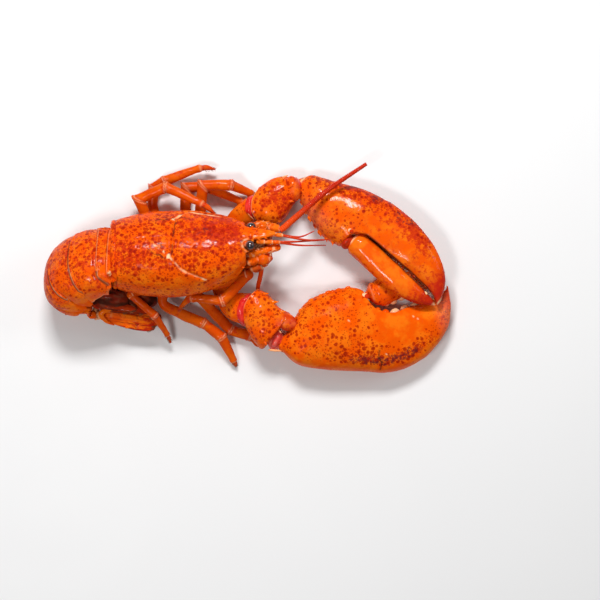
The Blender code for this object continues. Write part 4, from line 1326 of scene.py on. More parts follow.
def antennule(word, tree):
    """Two fine threads on a small foot of three joints."""
    root, outer, inner = ANTENNULES[word]
    foot = []
    start = on_body(96, ANTENNULE_ASIDE[word], 18.3)
    for share, radius in ((0, 1.9), (0.36, 1.7), (0.7, 1.4)):
        a = start + (np.array(root) - start) * share
        b = start + (np.array(root) - start) * (share + 0.32)
        joint = tube_loft([(*a, radius * 0.8), (*(a * 0.5 + b * 0.5), radius), (*b, radius * 0.95)], 16, 20)
        along = joint.along()
        joint.brush(cream=0.6 * hump(along, 0.9, 0.1), dark=0.6 * hump(along, 0.05, 0.06), plain=0.8)
        foot.append(joint)
    piece("antennule_foot_" + word, foot)
    for number, points, nodes in ((1, outer, ["antennule_" + word]), (2, inner, [])):
        rows = [(*point, radius) for point, radius in zip((root, *points), THREAD_RADII)]
        feeler(f"antennule_{word}_{number}", tree, rows, 40, lambda t: 0.35 - 0.3 * t, *nodes, **THREAD)


def maxilliped(side, word):
    """A leg-like mouthpart of four joints with a comb of hairs along its inner edge."""
    rows = [(*on_body(s, side * MAXILLIPED_OUT, v), r) for s, v, r in MAXILLIPED]
    limb = tube_loft(rows, 90, 40)
    along = limb.along()
    joints = sum(hump(along, at, 0.02) for at in LIMB_JOINTS)
    lips = sum(hump(along, at - 0.035, 0.02) for at in LIMB_JOINTS)
    limb.push(-0.7 * joints + 0.3 * lips + 0.15 * limb.grain(3, 2))
    limb.brush(cream=0.55 * lips, red=0.5 * joints, spots=0.3)
    piece("mouth_limb_" + word, [limb], "maxilliped_" + word, finish=LEG)
    for at in np.linspace(0.25, 0.97, 60):
        s, v, r = (np.interp(at, np.linspace(0, 1, 4), [row[i] for row in MAXILLIPED]) for i in range(3))
        inner = side * MAXILLIPED_OUT - side * r * 0.9
        for _ in range(3):
            jitter = BRISTLES.random.uniform(-0.6, 0.6, 3)
            length = BRISTLES.random.uniform(0.8, 1.6)
            BRISTLES.add(BODY, np.array((s, inner, v)) + jitter, (0.5, -side * 0.9, 0.2), length)


def mouth():
    """What closes the head under the beak: the plate before the mouth and the jaws, the plate painted dark as
    the shade of the hollows round the mouth.
    """
    plate = box_loft(BODY, MOUTH_PLATE, 40, 60, 2.6, (1, 1.5)).roughen((0.35, 3.2, 4), (0.2, 1.6, 5))
    plate.brush(
        # Painted shade of the hollows round the mouth.
        dark=0.45 + 0.4 * plate.clouds(2.4, 7, -0.2, 0.4), cream=0.5 * plate.clouds(3, 3, 0.35, 0.6),
    )
    jaws = [plate]
    for side, _ in SIDES:
        jaw = lump(BODY, (92, side * 3.2, 0.5), (4.2, 3, 3.4), 30, 18, -side * 15)
        jaws.append(jaw.brush(cream=0.6 * rise(jaw.points[..., 0], 93.5, 95.5), plain=0.8))
    piece("mouth_plate", jaws)
    draw = BRISTLES.random.uniform
    for side, _ in SIDES:
        for _ in range(90):
            at = draw((93, 1.5, 14.5), (99, 6.5, 18.5)) * (1, side, 1)
            BRISTLES.add(BODY, at, draw((0.3, -0.8, -0.1), (1, 0.8, 0.7)), draw(0.6, 1.5))


def head():
    tree = whip_tree(HORN)
    for side, word in SIDES:
        eye(side, word)
        antenna_base(side, word)
        antennule(word, tree)
        maxilliped(side, word)
    feeler("feeler_left", tree, ANTENNA_LEFT, 120, lambda t: 1 - rise(t, 0, 0.45), "antenna_left", **FEELER)
    feeler("feeler_right", tree, ANTENNA_RIGHT, 120, lambda t: 0.8 - 0.5 * t, "antenna_right", **FEELER)
    mouth()


# ---------------- claws

SEIZER = frame_at((35.6, 55.1, 9.5), heading=-40.3, pitch=9.2)
CRUSHER = frame_at((24.5, -48, 17.3), heading=17.8, pitch=-3)

RIGHT_EDGE, LEFT_EDGE = 1, 2


class Finger:
    """A part of a claw from rows (x, right edge, left edge, bottom, top), and its biting edge."""

    def __init__(self, place, column, *rows):
        self.place = place
        self.column = column
        self.rows = rows
        self.way = 1 if column == LEFT_EDGE else -1  # out over the edge

    def edge(self, x, fineness=600):
        dense = even_rows(self.rows, fineness)
        return np.interp(x, dense[:, 0], dense[:, self.column])

    def points(self, x):
        """Points on the edge at each x, halfway up it."""
        dense = even_rows(self.rows, 600)
        middle = np.interp(x, dense[:, 0], (dense[:, 3] + dense[:, 4]) / 2)
        return np.stack([x, self.edge(x), middle], axis=1)

    def point(self, x, lift):
        """The one point on the edge at x, moved by lift."""
        return self.points(np.array([x]))[0] + lift

    def strip(self, x, y):
        """The narrow band along the biting edge, painted dark as the shade in the gap between the fingers."""
        return fall((self.edge(x, 400) - y) * self.way, 0.2, 1.3)

    def skin(self, count, sides, domes):
        return box_loft(self.place, self.rows, count, sides, 2.2, domes)

    def palm(self, dome, count, sides, domes):
        """One smooth dome for palm and fixed finger, cut back beside the moving finger."""
        xs, edges = zip(*dome)
        wide = [list(row) for row in self.rows]
        for row in wide:
            if xs[0] < row[0] < xs[-1]:
                row[self.column] = np.interp(row[0], xs, edges)
        skin = box_loft(self.place, wide, count, sides, 2.2, domes)
        x, y, _ = skin.xyz()
        edge = self.edge(x)
        over = (edge - y) * self.way
        cut = (over + np.sqrt(over**2 + 0.8)) / 2
        here = rise(x, xs[0] - 4, xs[0] + 2) * fall(x, xs[-1], xs[-1] + 6)
        skin.points[..., 1] += (edge - self.way * cut - y) * here
        return skin

    def teeth(self, start, end, pitch, size, big_every, **paints):
        """A row of blunt teeth along the edge, with a larger one every so many."""
        made = []
        x = start
        while x < end:
            large = 1 if len(made) % big_every == big_every // 2 else 0.62
            own = size * large * (1 - 0.45 * rise(x, start + (end - start) * 0.65, end))
            point = self.point(x, (0, -self.way * 0.5, 0))
            tooth = lump(self.place, point, (own * 1.05, own * 1.15, own * 0.9), 14, 9, 8 * self.way)
            made.append(tooth.brush(plain=1, **paints))
            x += pitch * (0.75 + 0.5 * large)
        return made

    def hairs(self, start, end, count, size, height):
        """Short hairs beside the teeth, above and below them."""
        draw = BRISTLES.random
        points = self.points(draw.uniform(start, end, count))
        points[:, 1] += self.way * draw.uniform(-1.2, 0.2, count)
        points[:, 2] += draw.choice((-1, 1), count) * height * draw.uniform(0.5, 1, count)
        level = np.full(count, 0.35), np.full(count, self.way)
        aims = np.stack([*level, draw.uniform(-0.4, 0.6, count)], axis=1)
        BRISTLES.add(self.place, points, aims, size * draw.uniform(0.5, 1.1, count))


SEIZER_PALM = Finger(
    SEIZER, RIGHT_EDGE,
    (-2.5, -1.5, 8, -5, 6), (1, -3.5, 13.5, -9, 9), (7, -6, 16.5, -11.5, 11), (15, -9.5, 19.7, -13, 12.5),
    (25, -12.5, 24.5, -14, 13.5), (35, -14.5, 28.7, -14, 14), (44, -13.5, 31.2, -13.5, 14),
    (48, -12, 32.2, -13, 13.5), (50.5, -1, 32.6, -12.5, 13), (57, 4.6, 33.8, -11.5, 12),
    (66, 5.8, 34.3, -10, 10.5), (80, 5.5, 33.8, -8.5, 8.8), (94, 5.4, 31.2, -7.3, 7.3),
    (105, 5, 27, -8, 4.6), (114, 4.4, 21.8, -8.8, 2.2), (121, 3, 14.5, -9.6, -0.8),
    (125.5, 0.2, 5, -9.2, -4.2),
)
SEIZER_THUMB = Finger(
    SEIZER, LEFT_EDGE,
    (53.2, -9.8, 2.4, -6, 7.5), (57, -11.6, 5, -7.4, 9.4), (62, -12, 5.5, -7.4, 10),
    (72, -12.4, 5, -6.6, 9), (84, -13.2, 4.2, -5.8, 7.6), (94, -13.2, 3.8, -5.4, 6.2),
    (104, -11.8, 3, -6.4, 3.8), (113, -9, 2.2, -7.8, 1.2), (120, -5, 1.2, -9.2, -2.8),
    (124, -1.5, -0.2, -9.4, -6.4),
)
CRUSHER_PALM = Finger(
    CRUSHER, LEFT_EDGE,
    (-3, -10.5, -2.5, -6, 6), (0, -16.5, 1, -10, 9), (5, -22.5, 3.6, -13, 12), (14, -27.6, 11.8, -15, 14.5),
    (23, -31.6, 18, -16.5, 15.5), (36, -36.6, 20.4, -17.5, 16.5), (50, -41.8, 20, -17.5, 16),
    (58, -45, 17.6, -16.5, 15), (62, -45.8, 13.5, -16, 14.5), (64.5, -46.3, 2.5, -15.5, 14),
    (70, -46.8, -3.2, -14.5, 13), (78, -46.8, -7.2, -13.5, 11.8), (90, -44, -6.8, -12, 10),
    (100, -38.8, -7.6, -11, 8), (108, -32.8, -7, -10, 6), (114, -26, -5, -9, 4.4),
    (118.5, -15, -3.5, -7.5, 2.4), (120, -5, -1.5, -5, 0),
)
CRUSHER_THUMB = Finger(
    CRUSHER, RIGHT_EDGE,
    (64.8, 7, 12.5, -7, 3), (68, 2.8, 16.2, -10, 6), (74, -1, 18.6, -11, 6.6), (83, 0, 19.2, -10.6, 6),
    (92, 1.2, 18, -9.8, 4.8), (102, 1.2, 14.6, -8.8, 3), (110, 0.6, 9.8, -7.5, 1.2),
    (116.5, 0.5, 3.6, -5.5, -1.5),
)
# Where the palms' domes would end beside the moving fingers, were they not cut back: x and edge.
SEIZER_DOME = ((44, -13.5), (52, -12.4), (60, -9), (70, -4.6), (82, 0.4), (96, 5.2))
CRUSHER_DOME = ((50, 20), (58, 18.6), (66, 15), (75, 8.5), (86, 0.5), (98, -7.6))
# Tiny pale chips in the crusher's palm: x, y.
CHIPS = ((90, -14), (92.5, -16.5), (64, -33), (46, -3))
CRACK = ((57, -42), (59.5, -37.5), (58, -33.5), (60, -29))
# Round grinding teeth: x, size, and in the palm how deep they sit.
MOLARS = (
    (68.5, 2.2, 0.4), (73, 3.1, 1), (79.5, 4.1, 1.2), (87, 3.6, 0.9), (93.5, 2.8, 0.7), (99, 2.2, 0.5),
    (103.5, 1.8, 0.4), (107.5, 1.5, 0.3),
)
PALE_FROM = 78
GRINDERS = ((76, 2), (81, 3), (87.5, 3.2), (93.5, 2.6), (98.5, 2.1), (102.5, 1.7), (106, 1.4))
# Low knobs on the claws' inner edges: x, size; x, height over the middle, size.
SEIZER_KNOBS = ((8, 1), (14, 1.3), (20, 1.5), (26, 1.2), (32, 1.6), (38, 1.3), (43, 1.1))
CRUSHER_KNOBS = (
    (13, 3, 1.1), (17.5, 4.2, 1.5), (21, 2.6, 1), (26, 4, 1.7), (30, 2.4, 1.1), (33.5, 4.4, 1.3),
    (39, 3, 1.7), (42, 4.6, 1), (46.5, 3.2, 1.3), (53, 3.8, 1.5),
)


def hinge(place, at, size):
    """The ball of a claw's hinge in its pale socket."""
    cup = lump(place, at, (size * 1.35, size * 1.25, size * 0.9), 26, 16, 20).brush(cream=0.9, plain=1)
    centre = (at[0] + size * 0.75, at[1] - size * 0.1, at[2] + size * 0.35)
    ball = lump(place, centre, (size, size * 0.85, size * 0.8), 24, 15).brush(red=0.85, plain=1)
    return [cup, ball]


def shell_lumps(skin, seed, strength=1):
    skin.push(strength * (0.3 * skin.grain(9.5, seed) + 0.12 * skin.grain(4.2, seed + 1)))
    skin.push(-0.1 * strength * skin.clouds(1.6, seed + 2, 0.35, 0.8))


def seizer():
    palm = SEIZER_PALM.palm(SEIZER_DOME, 250, 160, (2.2, 0.8))
    x, y, z = palm.xyz()
    edge = column_at(x, SEIZER_PALM.rows, LEFT_EDGE)
    near_outer = rise(y, edge * 0.35, edge * 0.95)
    finger = rise(x, 50, 56)
    notch = np.linalg.norm(palm.points - (50.5, -3, 5), axis=-1)
    palm.push(0.45 * hump(notch, 6, 1.6))
    shell_lumps(palm, 21, 0.6)
    mottle = palm.grain(7, 8)
    upper = rise(z, -6, 3)
    # Along the gap between the fingers, painted dark as shade.
    gap_shade = rise(x, 55, 60) * fall(x, 112, 120)
    palm.brush(
        stain=(
            0.26 + 0.36 * near_outer * rise(x, 8, 24) * fall(x, 88, 112) + 0.16 * mottle * upper,
            0.75 * rise(x, 104, 121) + 0.5 * fall(z, -12, -4),
        ),
        spots=0.55 * fall(x, 44, 74) + 0.75 * near_outer * fall(x, 96, 112),
        plain=0.75 * finger * (1 - near_outer) + 0.3 * rise(x, 90, 110),
        bruise=(
            0.8 * near_outer * rise(x, 14, 26) * fall(x, 74, 98) * palm.clouds(8, 3, -0.45, 0.2),
            0.45 * hump(x, 26, 14) * hump(y, -6, 8),
        ),
        # A painted pink sheen of light on the upper palm and along its lower rim.
        blush=0.45 * hump(x, 20, 14) * hump(y, -8, 6) * upper + 0.45 * hump(z, -10.5, 3),
        cream=(0.85 * rise(x, 124.4, 125.8) + 0.8 * hump(notch, 3.4, 0.7), 0.6 * hump(x, -1, 0.9)),
        red=0.7 * rise(x, 104, 120) * fall(x, 122.5, 124.5),
        # Painted shade in the gap between the fingers.
        dark=0.75 * SEIZER_PALM.strip(x, y) * gap_shade,
        glaze=0.4 * palm.clouds(5, 11, -0.6, 0.2) * rise(y, -16, -6) * (1 - near_outer),
    )
    fixed = SEIZER_PALM.teeth(66, 122, 2.3, 1.6, 4, red=0.85, dark=0.25)
    SEIZER_PALM.hairs(62, 120, 420, 0.8, 1.6)
    for at, size in SEIZER_KNOBS:
        point = SEIZER_PALM.point(at, (0, 0.6, 3.2))
        fixed.append(lump(SEIZER, point, (size * 1.5, size * 1.2, size), 16, 10).brush(stain=0.5))
        SPINES.add(SEIZER, point + (0.6, -0.9, 0.4), (0.75, -0.6, 0.25), 0.55 * size)
    piece("seizer_palm", [palm, *fixed, *hinge(SEIZER, (48.2, 0.6, 11.4), 1.7)], "propodus_left")

    thumb = SEIZER_THUMB.skin(150, 90, (1.8, 0.7))
    x, y, _ = thumb.xyz()
    thumb.push(0.3 * hump(x, 55.6, 1.2) + 0.3 * thumb.grain(4, 33) * fall(x, 58, 64))
    shell_lumps(thumb, 31, 0.7)
    # Along the gap between the fingers, painted dark as shade.
    gap_shade = rise(x, 58, 64) * fall(x, 112, 120)
    thumb.brush(
        stain=0.1 + 0.35 * fall(y, -12, -6) + 0.65 * rise(x, 98, 120), plain=0.8,
        bruise=0.5 * fall(y, -11.5, -8) * fall(x, 66, 84),
        red=0.6 * rise(x, 100, 118) + 0.5 * fall(x, 53.4, 55),
        cream=0.8 * rise(x, 122, 124) + 0.8 * hump(x, 53.7, 0.6) * rise(y, -8, -5),
        glaze=0.85 * fall(x, 100, 112),
        # Painted shade in the gap between the fingers.
        dark=0.75 * SEIZER_THUMB.strip(x, y) * gap_shade,
    )
    moving = SEIZER_THUMB.teeth(70, 120, 2.2, 1.2, 5, red=0.6)
    tusk = lump(SEIZER, (114.5, 1, -2), (1.9, 1.1, 1.1), 20, 12, 10).brush(cream=1)
    SEIZER_THUMB.hairs(64, 118, 380, 0.8, 1.6)
    root = lump(SEIZER, (50.8, -6.4, 2.4), (4, 5.8, 7.4), 34, 20).roughen((0.4, 2.4, 3))
    root.brush(red=0.9, dark=0.4 * root.clouds(2, 4, 0, 0.5))
    socket = lump(SEIZER, (47.6, -4.4, 6.4), (3, 3, 3.2), 34, 20)
    x, y, _ = socket.xyz()
    rim = 0.75 * hump(np.hypot(x - 47.6, y + 4.4), 2.5, 0.45)
    socket.brush(cream=rim, red=0.5 * socket.clouds(2, 5, 0, 0.4), plain=1)
    piece("seizer_thumb", [thumb, *moving, tusk, root, socket], "dactyl_left")


def crusher():
    palm = CRUSHER_PALM.palm(CRUSHER_DOME, 250, 170, (2.2, 1.2))
    x, y, z = palm.xyz()
    to_edge = y - column_at(x, CRUSHER_PALM.rows, RIGHT_EDGE)
    notch = np.linalg.norm(palm.points - (62.5, 6, 5.5), axis=-1)
    palm.push(0.5 * hump(notch, 6.5, 1.8) + 0.5 * hump(to_edge, 2.5, 1.5) * rise(abs(z), 3, 0.5))
    shell_lumps(palm, 41)
    upper = rise(z, -3, 4)
    speckle = hump(to_edge, 9, 6.5) * rise(x, 26, 44) * fall(x, 84, 106)
    palm.brush(
        stain=(
            0.06 + 0.1 * palm.grain(9, 4) + 0.34 * hump(to_edge, 8, 8) * rise(x, 18, 40),
            0.3 * hump(x, 66, 10) * hump(y, 2, 8) + 0.4 * fall(z, -14, -6),
            0.42 * speckle * upper,
        ),
        spots=(
            0.75 * fall(x, 50, 82) * rise(to_edge, 3, 8) + 0.45 * hump(to_edge, 12, 7) * rise(x, 22, 36),
            0.8 * hump(to_edge, 9, 5) * rise(x, 60, 76) * fall(x, 104, 113),
            1.25 * speckle * upper,
        ),
        plain=0.55 * hump(x, 84, 20) * rise(to_edge, 16, 26) + 0.5 * hump(to_edge, 1.5, 3),
        bruise=(
            (0.84 * speckle + 0.78 * rise(x, 102, 112)) * upper,
            0.35 * upper * hump(x, 30, 14) * palm.clouds(6, 2, 0, 0.5),
        ),
        # A painted pink sheen of light on the tip's upper side and along the inner rim.
        blush=0.5 * rise(x, 102, 113) * upper + 0.65 * hump(to_edge, 0.2, 1.6),
        red=0.6 * rise(x, 113, 119) * rise(y, -24, -8),
        matt=0.7 + 0.25 * palm.clouds(14, 6, -0.2, 0.3),
        dark=0.8 * fall(near_path(x, y, CRACK), 0.25, 0.7) * upper,
        cream=(
            0.8 * hump(notch, 3.6, 0.7),
            *(0.95 * fall(np.hypot(x - a, y - b), 0.3, 0.75) * upper for a, b in CHIPS),
        ),
    )
    lumps = []
    for at, size, depth in MOLARS:
        point = CRUSHER_PALM.point(at, (0, -depth, 1))
        molar = lump(CRUSHER, point, (size, size * 0.95, size * 0.9), 26, 16, 12).roughen((0.25, 2.4, 9))
        pale = rise(molar.points[..., 1], point[1] - size * 0.6, point[1] + size * 0.2)
        lumps.append(molar.brush(cream=0.95 * pale * (at > PALE_FROM), plain=1))
    for at, up, size in CRUSHER_KNOBS:
        point = CRUSHER_PALM.point(at, (0, -1.1, up))
        knob = lump(CRUSHER, point, (size * 1.5, size * 1.05, size), 18, 11, 14).roughen((0.2, 1.6, 12))
        pale = rise(knob.points[..., 1], point[1] + size * 0.5, point[1] + size)
        lumps.append(knob.brush(stain=0.15, cream=0.35 * pale))
    piece("crusher_palm", [palm, *lumps, *hinge(CRUSHER, (61.6, 9.2, 8.4), 2.3)], "propodus_right")

    thumb = CRUSHER_THUMB.skin(130, 100, (2, 0.8))
    x = thumb.points[..., 0]
    thumb.push(0.4 * hump(x, 69, 1.2) - 0.4 * hump(x, 71.5, 0.9))
    shell_lumps(thumb, 51, 0.8)
    thumb.brush(
        stain=0.34 + 0.2 * rise(x, 100, 116), spots=0.45,
        cream=0.2 * hump(x, 68, 0.6) + 0.7 * rise(x, 113, 116), red=0.35 * rise(x, 104, 114),
    )
    grinders = []
    for at, size in GRINDERS:
        point = CRUSHER_THUMB.point(at, (0, 0.9, 0.6))
        grinder = lump(CRUSHER, point, (size, size * 0.9, size * 0.8), 24, 15, -8)
        pale = rise(-grinder.points[..., 1], -point[1] - size * 0.5, -point[1] + size * 0.3)
        grinders.append(grinder.brush(cream=0.95 * pale, plain=1))
    CRUSHER_THUMB.hairs(74, 108, 120, 0.6, 2.6)
    piece("crusher_thumb", [thumb, *grinders], "dactyl_right")


# ---------------- arms

# From the elbow joint to the wrist joint.
LEFT_CARPUS = frame_at((1.6, 41.6, 13.6), heading=22)
LEFT_CARPUS_ROWS = (
    (-3.4, -4.4, 4.4, -4.5, 5.5), (-0.6, -10, 6.6, -7, 8), (4, -14.6, 8.6, -9.4, 10.4),
    (9, -18, 10.2, -10.5, 12), (15, -17.6, 12.2, -11, 12.5), (22, -14.6, 13.4, -11, 12.5),
    (28, -9.8, 12.6, -10, 11.5), (33, -6.6, 10, -8, 9.5), (35.4, -3.4, 8, -6, 7.5),
)
RIGHT_CARPUS = frame_at((-3, -29.5, 18.3), heading=-31.4)
RIGHT_CARPUS_ROWS = (
    (-5.2, 2, 13.4, -5, 5.5), (-2.6, -1.4, 16.4, -8, 8), (1.5, -4.4, 18.2, -10, 10),
    (6, -8.4, 18.8, -11.4, 11.4), (12, -12, 17.6, -12.5, 12.5), (19, -15.2, 15, -12.5, 13),
    (24, -16.6, 14.6, -12, 12.5), (26.5, -13, 15, -11.5, 12), (28.5, 4, 15, -9, 11), (32, 8.5, 12.6, -4, 7),
)
# The upper arms, from the breast to past the elbow: points with their radius.
LEFT_MERUS = ((-22, 17.5, 7, 4), (-13, 27.5, 8.5, 5.6), (-6, 35.5, 11.5, 7.4), (4, 42, 14.5, 8.6))
RIGHT_MERUS = ((-22, -12, 12.5, 4.2), (-16, -20, 15, 7), (-9, -26, 17.2, 10), (3, -29.5, 18.4, 11.4))
# Each elbow: a point on its plane, the plane's heading, the skin's half width and half height,
# and how far the elbow bulges towards the breast in its middle.
LEFT_ELBOW = ((4.4, 42.4, 14.6), 2, 7.8, 6.2, 2.2)
RIGHT_ELBOW = ((0.4, -29.2, 18.4), -11, 11, 7.8, 3.4)
# The elbow's band of skin: x, share of its half sizes.
ELBOW_BAND = ((-3.6, 0.94), (-2.2, 1.03), (-1, 1.06), (0.6, 0.96))
SKIN_THICKNESS = 1.7
ARM_FLATNESS = 0.72
WRIST_NOTCH = frame_at((21.4, -44.6, 17), heading=-112)
# The shell lobes over the wrists (centre, half sizes, tilt, redness) and pale rims beside them.
WRIST_LOBES = (
    ((31.8, 55.2, 18.8), (4.9, 8.8, 6), 14, 0.35), ((27, -37.4, 24.8), (7.4, 5.8, 4.6), -28, 0.75),
)
WRIST_RIMS = (
    ((22.6, -44.2, 26.4), (1.5, 0.5, 0.6), -48), ((18.8, -57.2, 21), (4.8, 0.9, 1.2), -4),
    ((25.6, 63.2, 18.5), (2.6, 0.8, 0.9), 26),
)
# Thorns on each carpus: x, round from its top to its left (degrees), size.
LEFT_THORNS = (
    (8, 40, 1), (17, 46, 1.3), (26, 40, 1.5), (27, -38, 1.2), (14, -60, 1), (22, 10, 0.7), (30, 8, 1.1),
)
RIGHT_THORNS = (
    (6, 62, 1.3), (14, 66, 1.5), (22, 60, 1.4), (9, 28, 0.8), (17, 24, 0.9), (24, -40, 1), (13, -62, 0.9),
)


def trimmed(skin, point, facing, lip, bow=0, half=1):
    """Press what lies past a plane back onto it behind a raised lip; gives how far past each point was.

    The plane may be bowed by so much in its middle, over its half width.
    """
    facing = np.array(facing)
    found = moved(skin.points, skin.place) - np.array(point)
    aside = found @ np.array((facing[1], -facing[0], 0)) / half
    past = found @ facing + bow * np.clip(1 - aside**2, -1.5, 1)
    skin.push(lip * hump(past, -0.9, 0.8))
    own = facing @ np.array(skin.place.to_3x3())
    skin.points = skin.points - (np.maximum(past, 0) * 0.97)[..., None] * own
    return past


def carpus(word, place, rows, elbow_place, thorns):
    """The joint between upper arm and claw, cut square to its elbow, with its thorns."""
    skin = box_loft(place, rows, 110, 120, 2.3, (1, 2))
    shell_lumps(skin, 61 if word == "left" else 71, 1.2)
    point, heading, half_width, _, bow = elbow_place
    facing = frame_at(point, heading).to_3x3() @ Vector((-1, 0, 0))
    past = trimmed(skin, point, facing, 0.35, -bow, half_width)
    x, y, z = skin.xyz()
    end = rows[-1][0]
    on_right = word == "right"
    skin.push(0.4 * hump(x, end - 1.8, 1.3) + 0.3 * skin.grain(5, 23) * rise(x, end - 9, end - 3))
    at_wrist = on_right * rise(x, 22, 27) * rise(y, 1, 6)
    skin.brush(
        cream=0.45 * hump(past, -0.2, 0.35) + 0.4 * hump(x, end - 0.6, 0.6) * skin.clouds(3, 6, -0.2, 0.4),
        red=(
            0.55 * rise(x, end - 6.5, end - 3) * skin.clouds(4, 7, -0.5, 0.2),
            0.7 * at_wrist * skin.clouds(4, 9, -0.6, 0.2),
        ),
        # A painted pink sheen of light at the wrist end.
        blush=(
            0.5 * rise(x, end - 6, end - 3) * skin.clouds(5, 8, 0, 0.5),
            0.45 * at_wrist * skin.clouds(3, 10, -0.1, 0.4),
        ),
        stain=(0.02 if on_right else 0.26) + 0.34 * skin.clouds(8, 5, -0.1, 0.5) + 0.3 * fall(z, -9, -3),
        spots=0.72,
        bruise=0.3 * skin.clouds(6, 6, 0.1, 0.6),
    )
    for at, turn, size in thorns:
        right, left, low, high = (column_at(at, rows, i) for i in range(1, 5))
        up, across = cos(radians(turn)), sin(radians(turn))
        y = (left + right) / 2 + across * (left - right) / 2 * 0.97
        z = (high + low) / 2 + up * (high - low) / 2 * 0.97
        SPINES.add(place, np.array((at, y, z)), (0.8, across * 0.7, up * 0.55), size * 1.15)
    piece("carpus_shell_" + word, [skin], "carpus_" + word)


def elbow(word, points, place):
    """The upper arm and the band of soft skin between it and the next joint."""
    point, heading, half_width, half_height, bow = place
    frame_here = frame_at(point, heading)
    facing = frame_here.to_3x3() @ Vector((1, 0, 0))
    merus = tube_loft(points, 90, 90, ARM_FLATNESS)
    shell_lumps(merus, 81 if word == "left" else 91)
    past = trimmed(merus, frame_here @ Vector((-0.8, 0, 0)), facing, 0.5, bow + SKIN_THICKNESS, half_width)
    merus.brush(
        cream=0.8 * hump(past, -0.35, 0.4), dark=0.35 * hump(past, -1.3, 0.3),
        stain=0.04 + 0.35 * merus.clouds(8, 5, 0, 0.6), spots=0.5,
    )
    piece("upper_arm_" + word, [merus], "merus_" + word)
    rows = [(x, -half_width * k, half_width * k, -half_height * k, half_height * k) for x, k in ELBOW_BAND]
    band = box_loft(frame_here, rows, 24, 110, 2.2, (0.6, 0.6)).roughen((0.25, 2.2, 4))
    band.brush(cream=0.5 * band.clouds(5, 3, 0.3, 0.6) * (band.points[..., 0] < -2.4))
    aside = band.points[..., 1] / half_width
    band.points[..., 0] -= (bow + 0.3) * np.clip(1 - aside**2, -0.3, 1)
    piece("elbow_fold_" + word, [band], "elbow_skin_" + word, finish=SKIN)


def wrists():
    """The soft skin in both wrists, with the shell's lobes that hold them."""
    notch = lump(WRIST_NOTCH, (5.5, 0.6, 0.5), (7.6, 3.6, 8), 48, 30)
    inner = lump(HERE, (19.6, -49.8, 16.6), (5.6, 8, 6.4), 48, 30, -22)
    for part in (notch, inner):
        part.roughen((0.35, 3, 5), (0.15, 1.4, 6))
        part.brush(cream=0.12 + 0.35 * part.clouds(3.5, 2, 0, 0.5))
    piece("wrist_fold_right", [notch, inner], "wrist_skin_right", finish=SKIN)
    left = lump(HERE, (33, 57.5, 14), (4.6, 6.4, 8), 44, 28, 30).roughen((0.3, 3, 7))
    piece("wrist_fold_left", [left.brush(cream=0.5 * left.clouds(3.5, 4, -0.1, 0.5))], finish=SKIN)
    lobes = []
    for at, radii, tilt, redness in WRIST_LOBES:
        lobe = lump(HERE, at, radii, 36, 24, tilt).roughen((0.25, 3, 8))
        red = redness * lobe.clouds(4, 9, -0.7, 0.1)
        # A painted pink sheen of light on the lobe.
        blush = 0.45 * redness * lobe.clouds(3, 10, -0.1, 0.4)
        lobes.append(lobe.brush(stain=0.3, spots=0.5, red=red, blush=blush))
    for at, radii, tilt in WRIST_RIMS:
        lobes.append(lump(HERE, at, radii, 26, 18, tilt).roughen((0.2, 1.6, 4)).brush(cream=0.55))
    piece("wrist_lobes", lobes)


def arms():
    carpus("left", LEFT_CARPUS, LEFT_CARPUS_ROWS, LEFT_ELBOW, LEFT_THORNS)
    carpus("right", RIGHT_CARPUS, RIGHT_CARPUS_ROWS, RIGHT_ELBOW, RIGHT_THORNS)
    elbow("left", LEFT_MERUS, LEFT_ELBOW)
    elbow("right", RIGHT_MERUS, RIGHT_ELBOW)
    wrists()


# ---------------- breast and walking legs

# The breast plate: its half width at each s, and its lowest line, which rises forwards.
BREAST = ((12, 6), (20, 9), (34, 10.5), (50, 12), (64, 12.5), (76, 9))
BREAST_FLOOR = -22.5
BREAST_RISE = 0.06
LEG_ROOTS = (26, 36, 46, 56, 67)
# Each leg from the breast: the points of its upper leg, the last of them its knee, and then
# its wrist, ankle and tip.
LEGS = {
    "left_2": (
        ((-35.5, 14.4, 10), (-34.5, 27, 4.4), (-33.4, 40, 9), (-31.2, 57.7, 15.8)),
        ((-11.7, 57.7, 16), (2, 52.4, 5), (8, 50, 1.8)),
    ),
    "left_3": (
        ((-43.6, 13.6, 9.6), (-44.5, 27, 4.4), (-44.2, 40, 5.6), (-43.4, 56.7, 7.6)),
        ((-30.1, 57.2, 7.4), (-5, 46.8, 4.2), (3, 43.5, 1.8)),
    ),
    "left_4": (
        ((-53.6, 13.2, 9), (-60, 27, 4.2), (-67, 42, 3.6), (-66, 56.5, 6)),
        ((-58, 61, 8.5), (-33.5, 69.9, 9), (-23.1, 69.3, 8)),
    ),
    "left_5": (
        ((-63.6, 13.2, 9.2), (-69, 27, 4.4), (-72.5, 39, 11.5), (-75.8, 48, 16)),
        ((-56.7, 56.1, 19), (-31.4, 44, 24), (-22.4, 37.1, 25.5)),
    ),
    "right_2": (
        ((-34.5, -12.6, 21.5), (-17, -10.5, 23), (0.5, -4.8, 28)),
        ((-17.3, -23, 31.5), (-38.7, -21.5, 29), (-47.9, -30, 24)),
    ),
    "right_3": (
        ((-43.6, -9.8, 20), (-29.8, -24.4, 13), (-12.6, -43.4, 6.4)),
        ((1.3, -47.5, 4.2), (6, -51, 3), (11, -55, 1.8)),
    ),
    "right_4": (
        ((-53.6, -9.8, 20.5), (-59, -23.7, 19), (-47.3, -31.4, 16.5), (-31, -38.5, 13.5)),
        ((-18.4, -48.4, 11.2), (-10.5, -64.5, 4.6), (-8.4, -69, 2.8)),
    ),
    "right_5": (
        ((-63.6, -10, 21.5), (-80.4, -18.8, 26.5)),
        ((-64, -33.2, 24.5), (-56.4, -46.4, 12), (-54.4, -52, 7.6)),
    ),
}
LEG_RADIUS = 3.4
TIP_RADIUS = 0.7
SLIM_LEGS = {"right_5": 0.74}  # legs thinner than the others
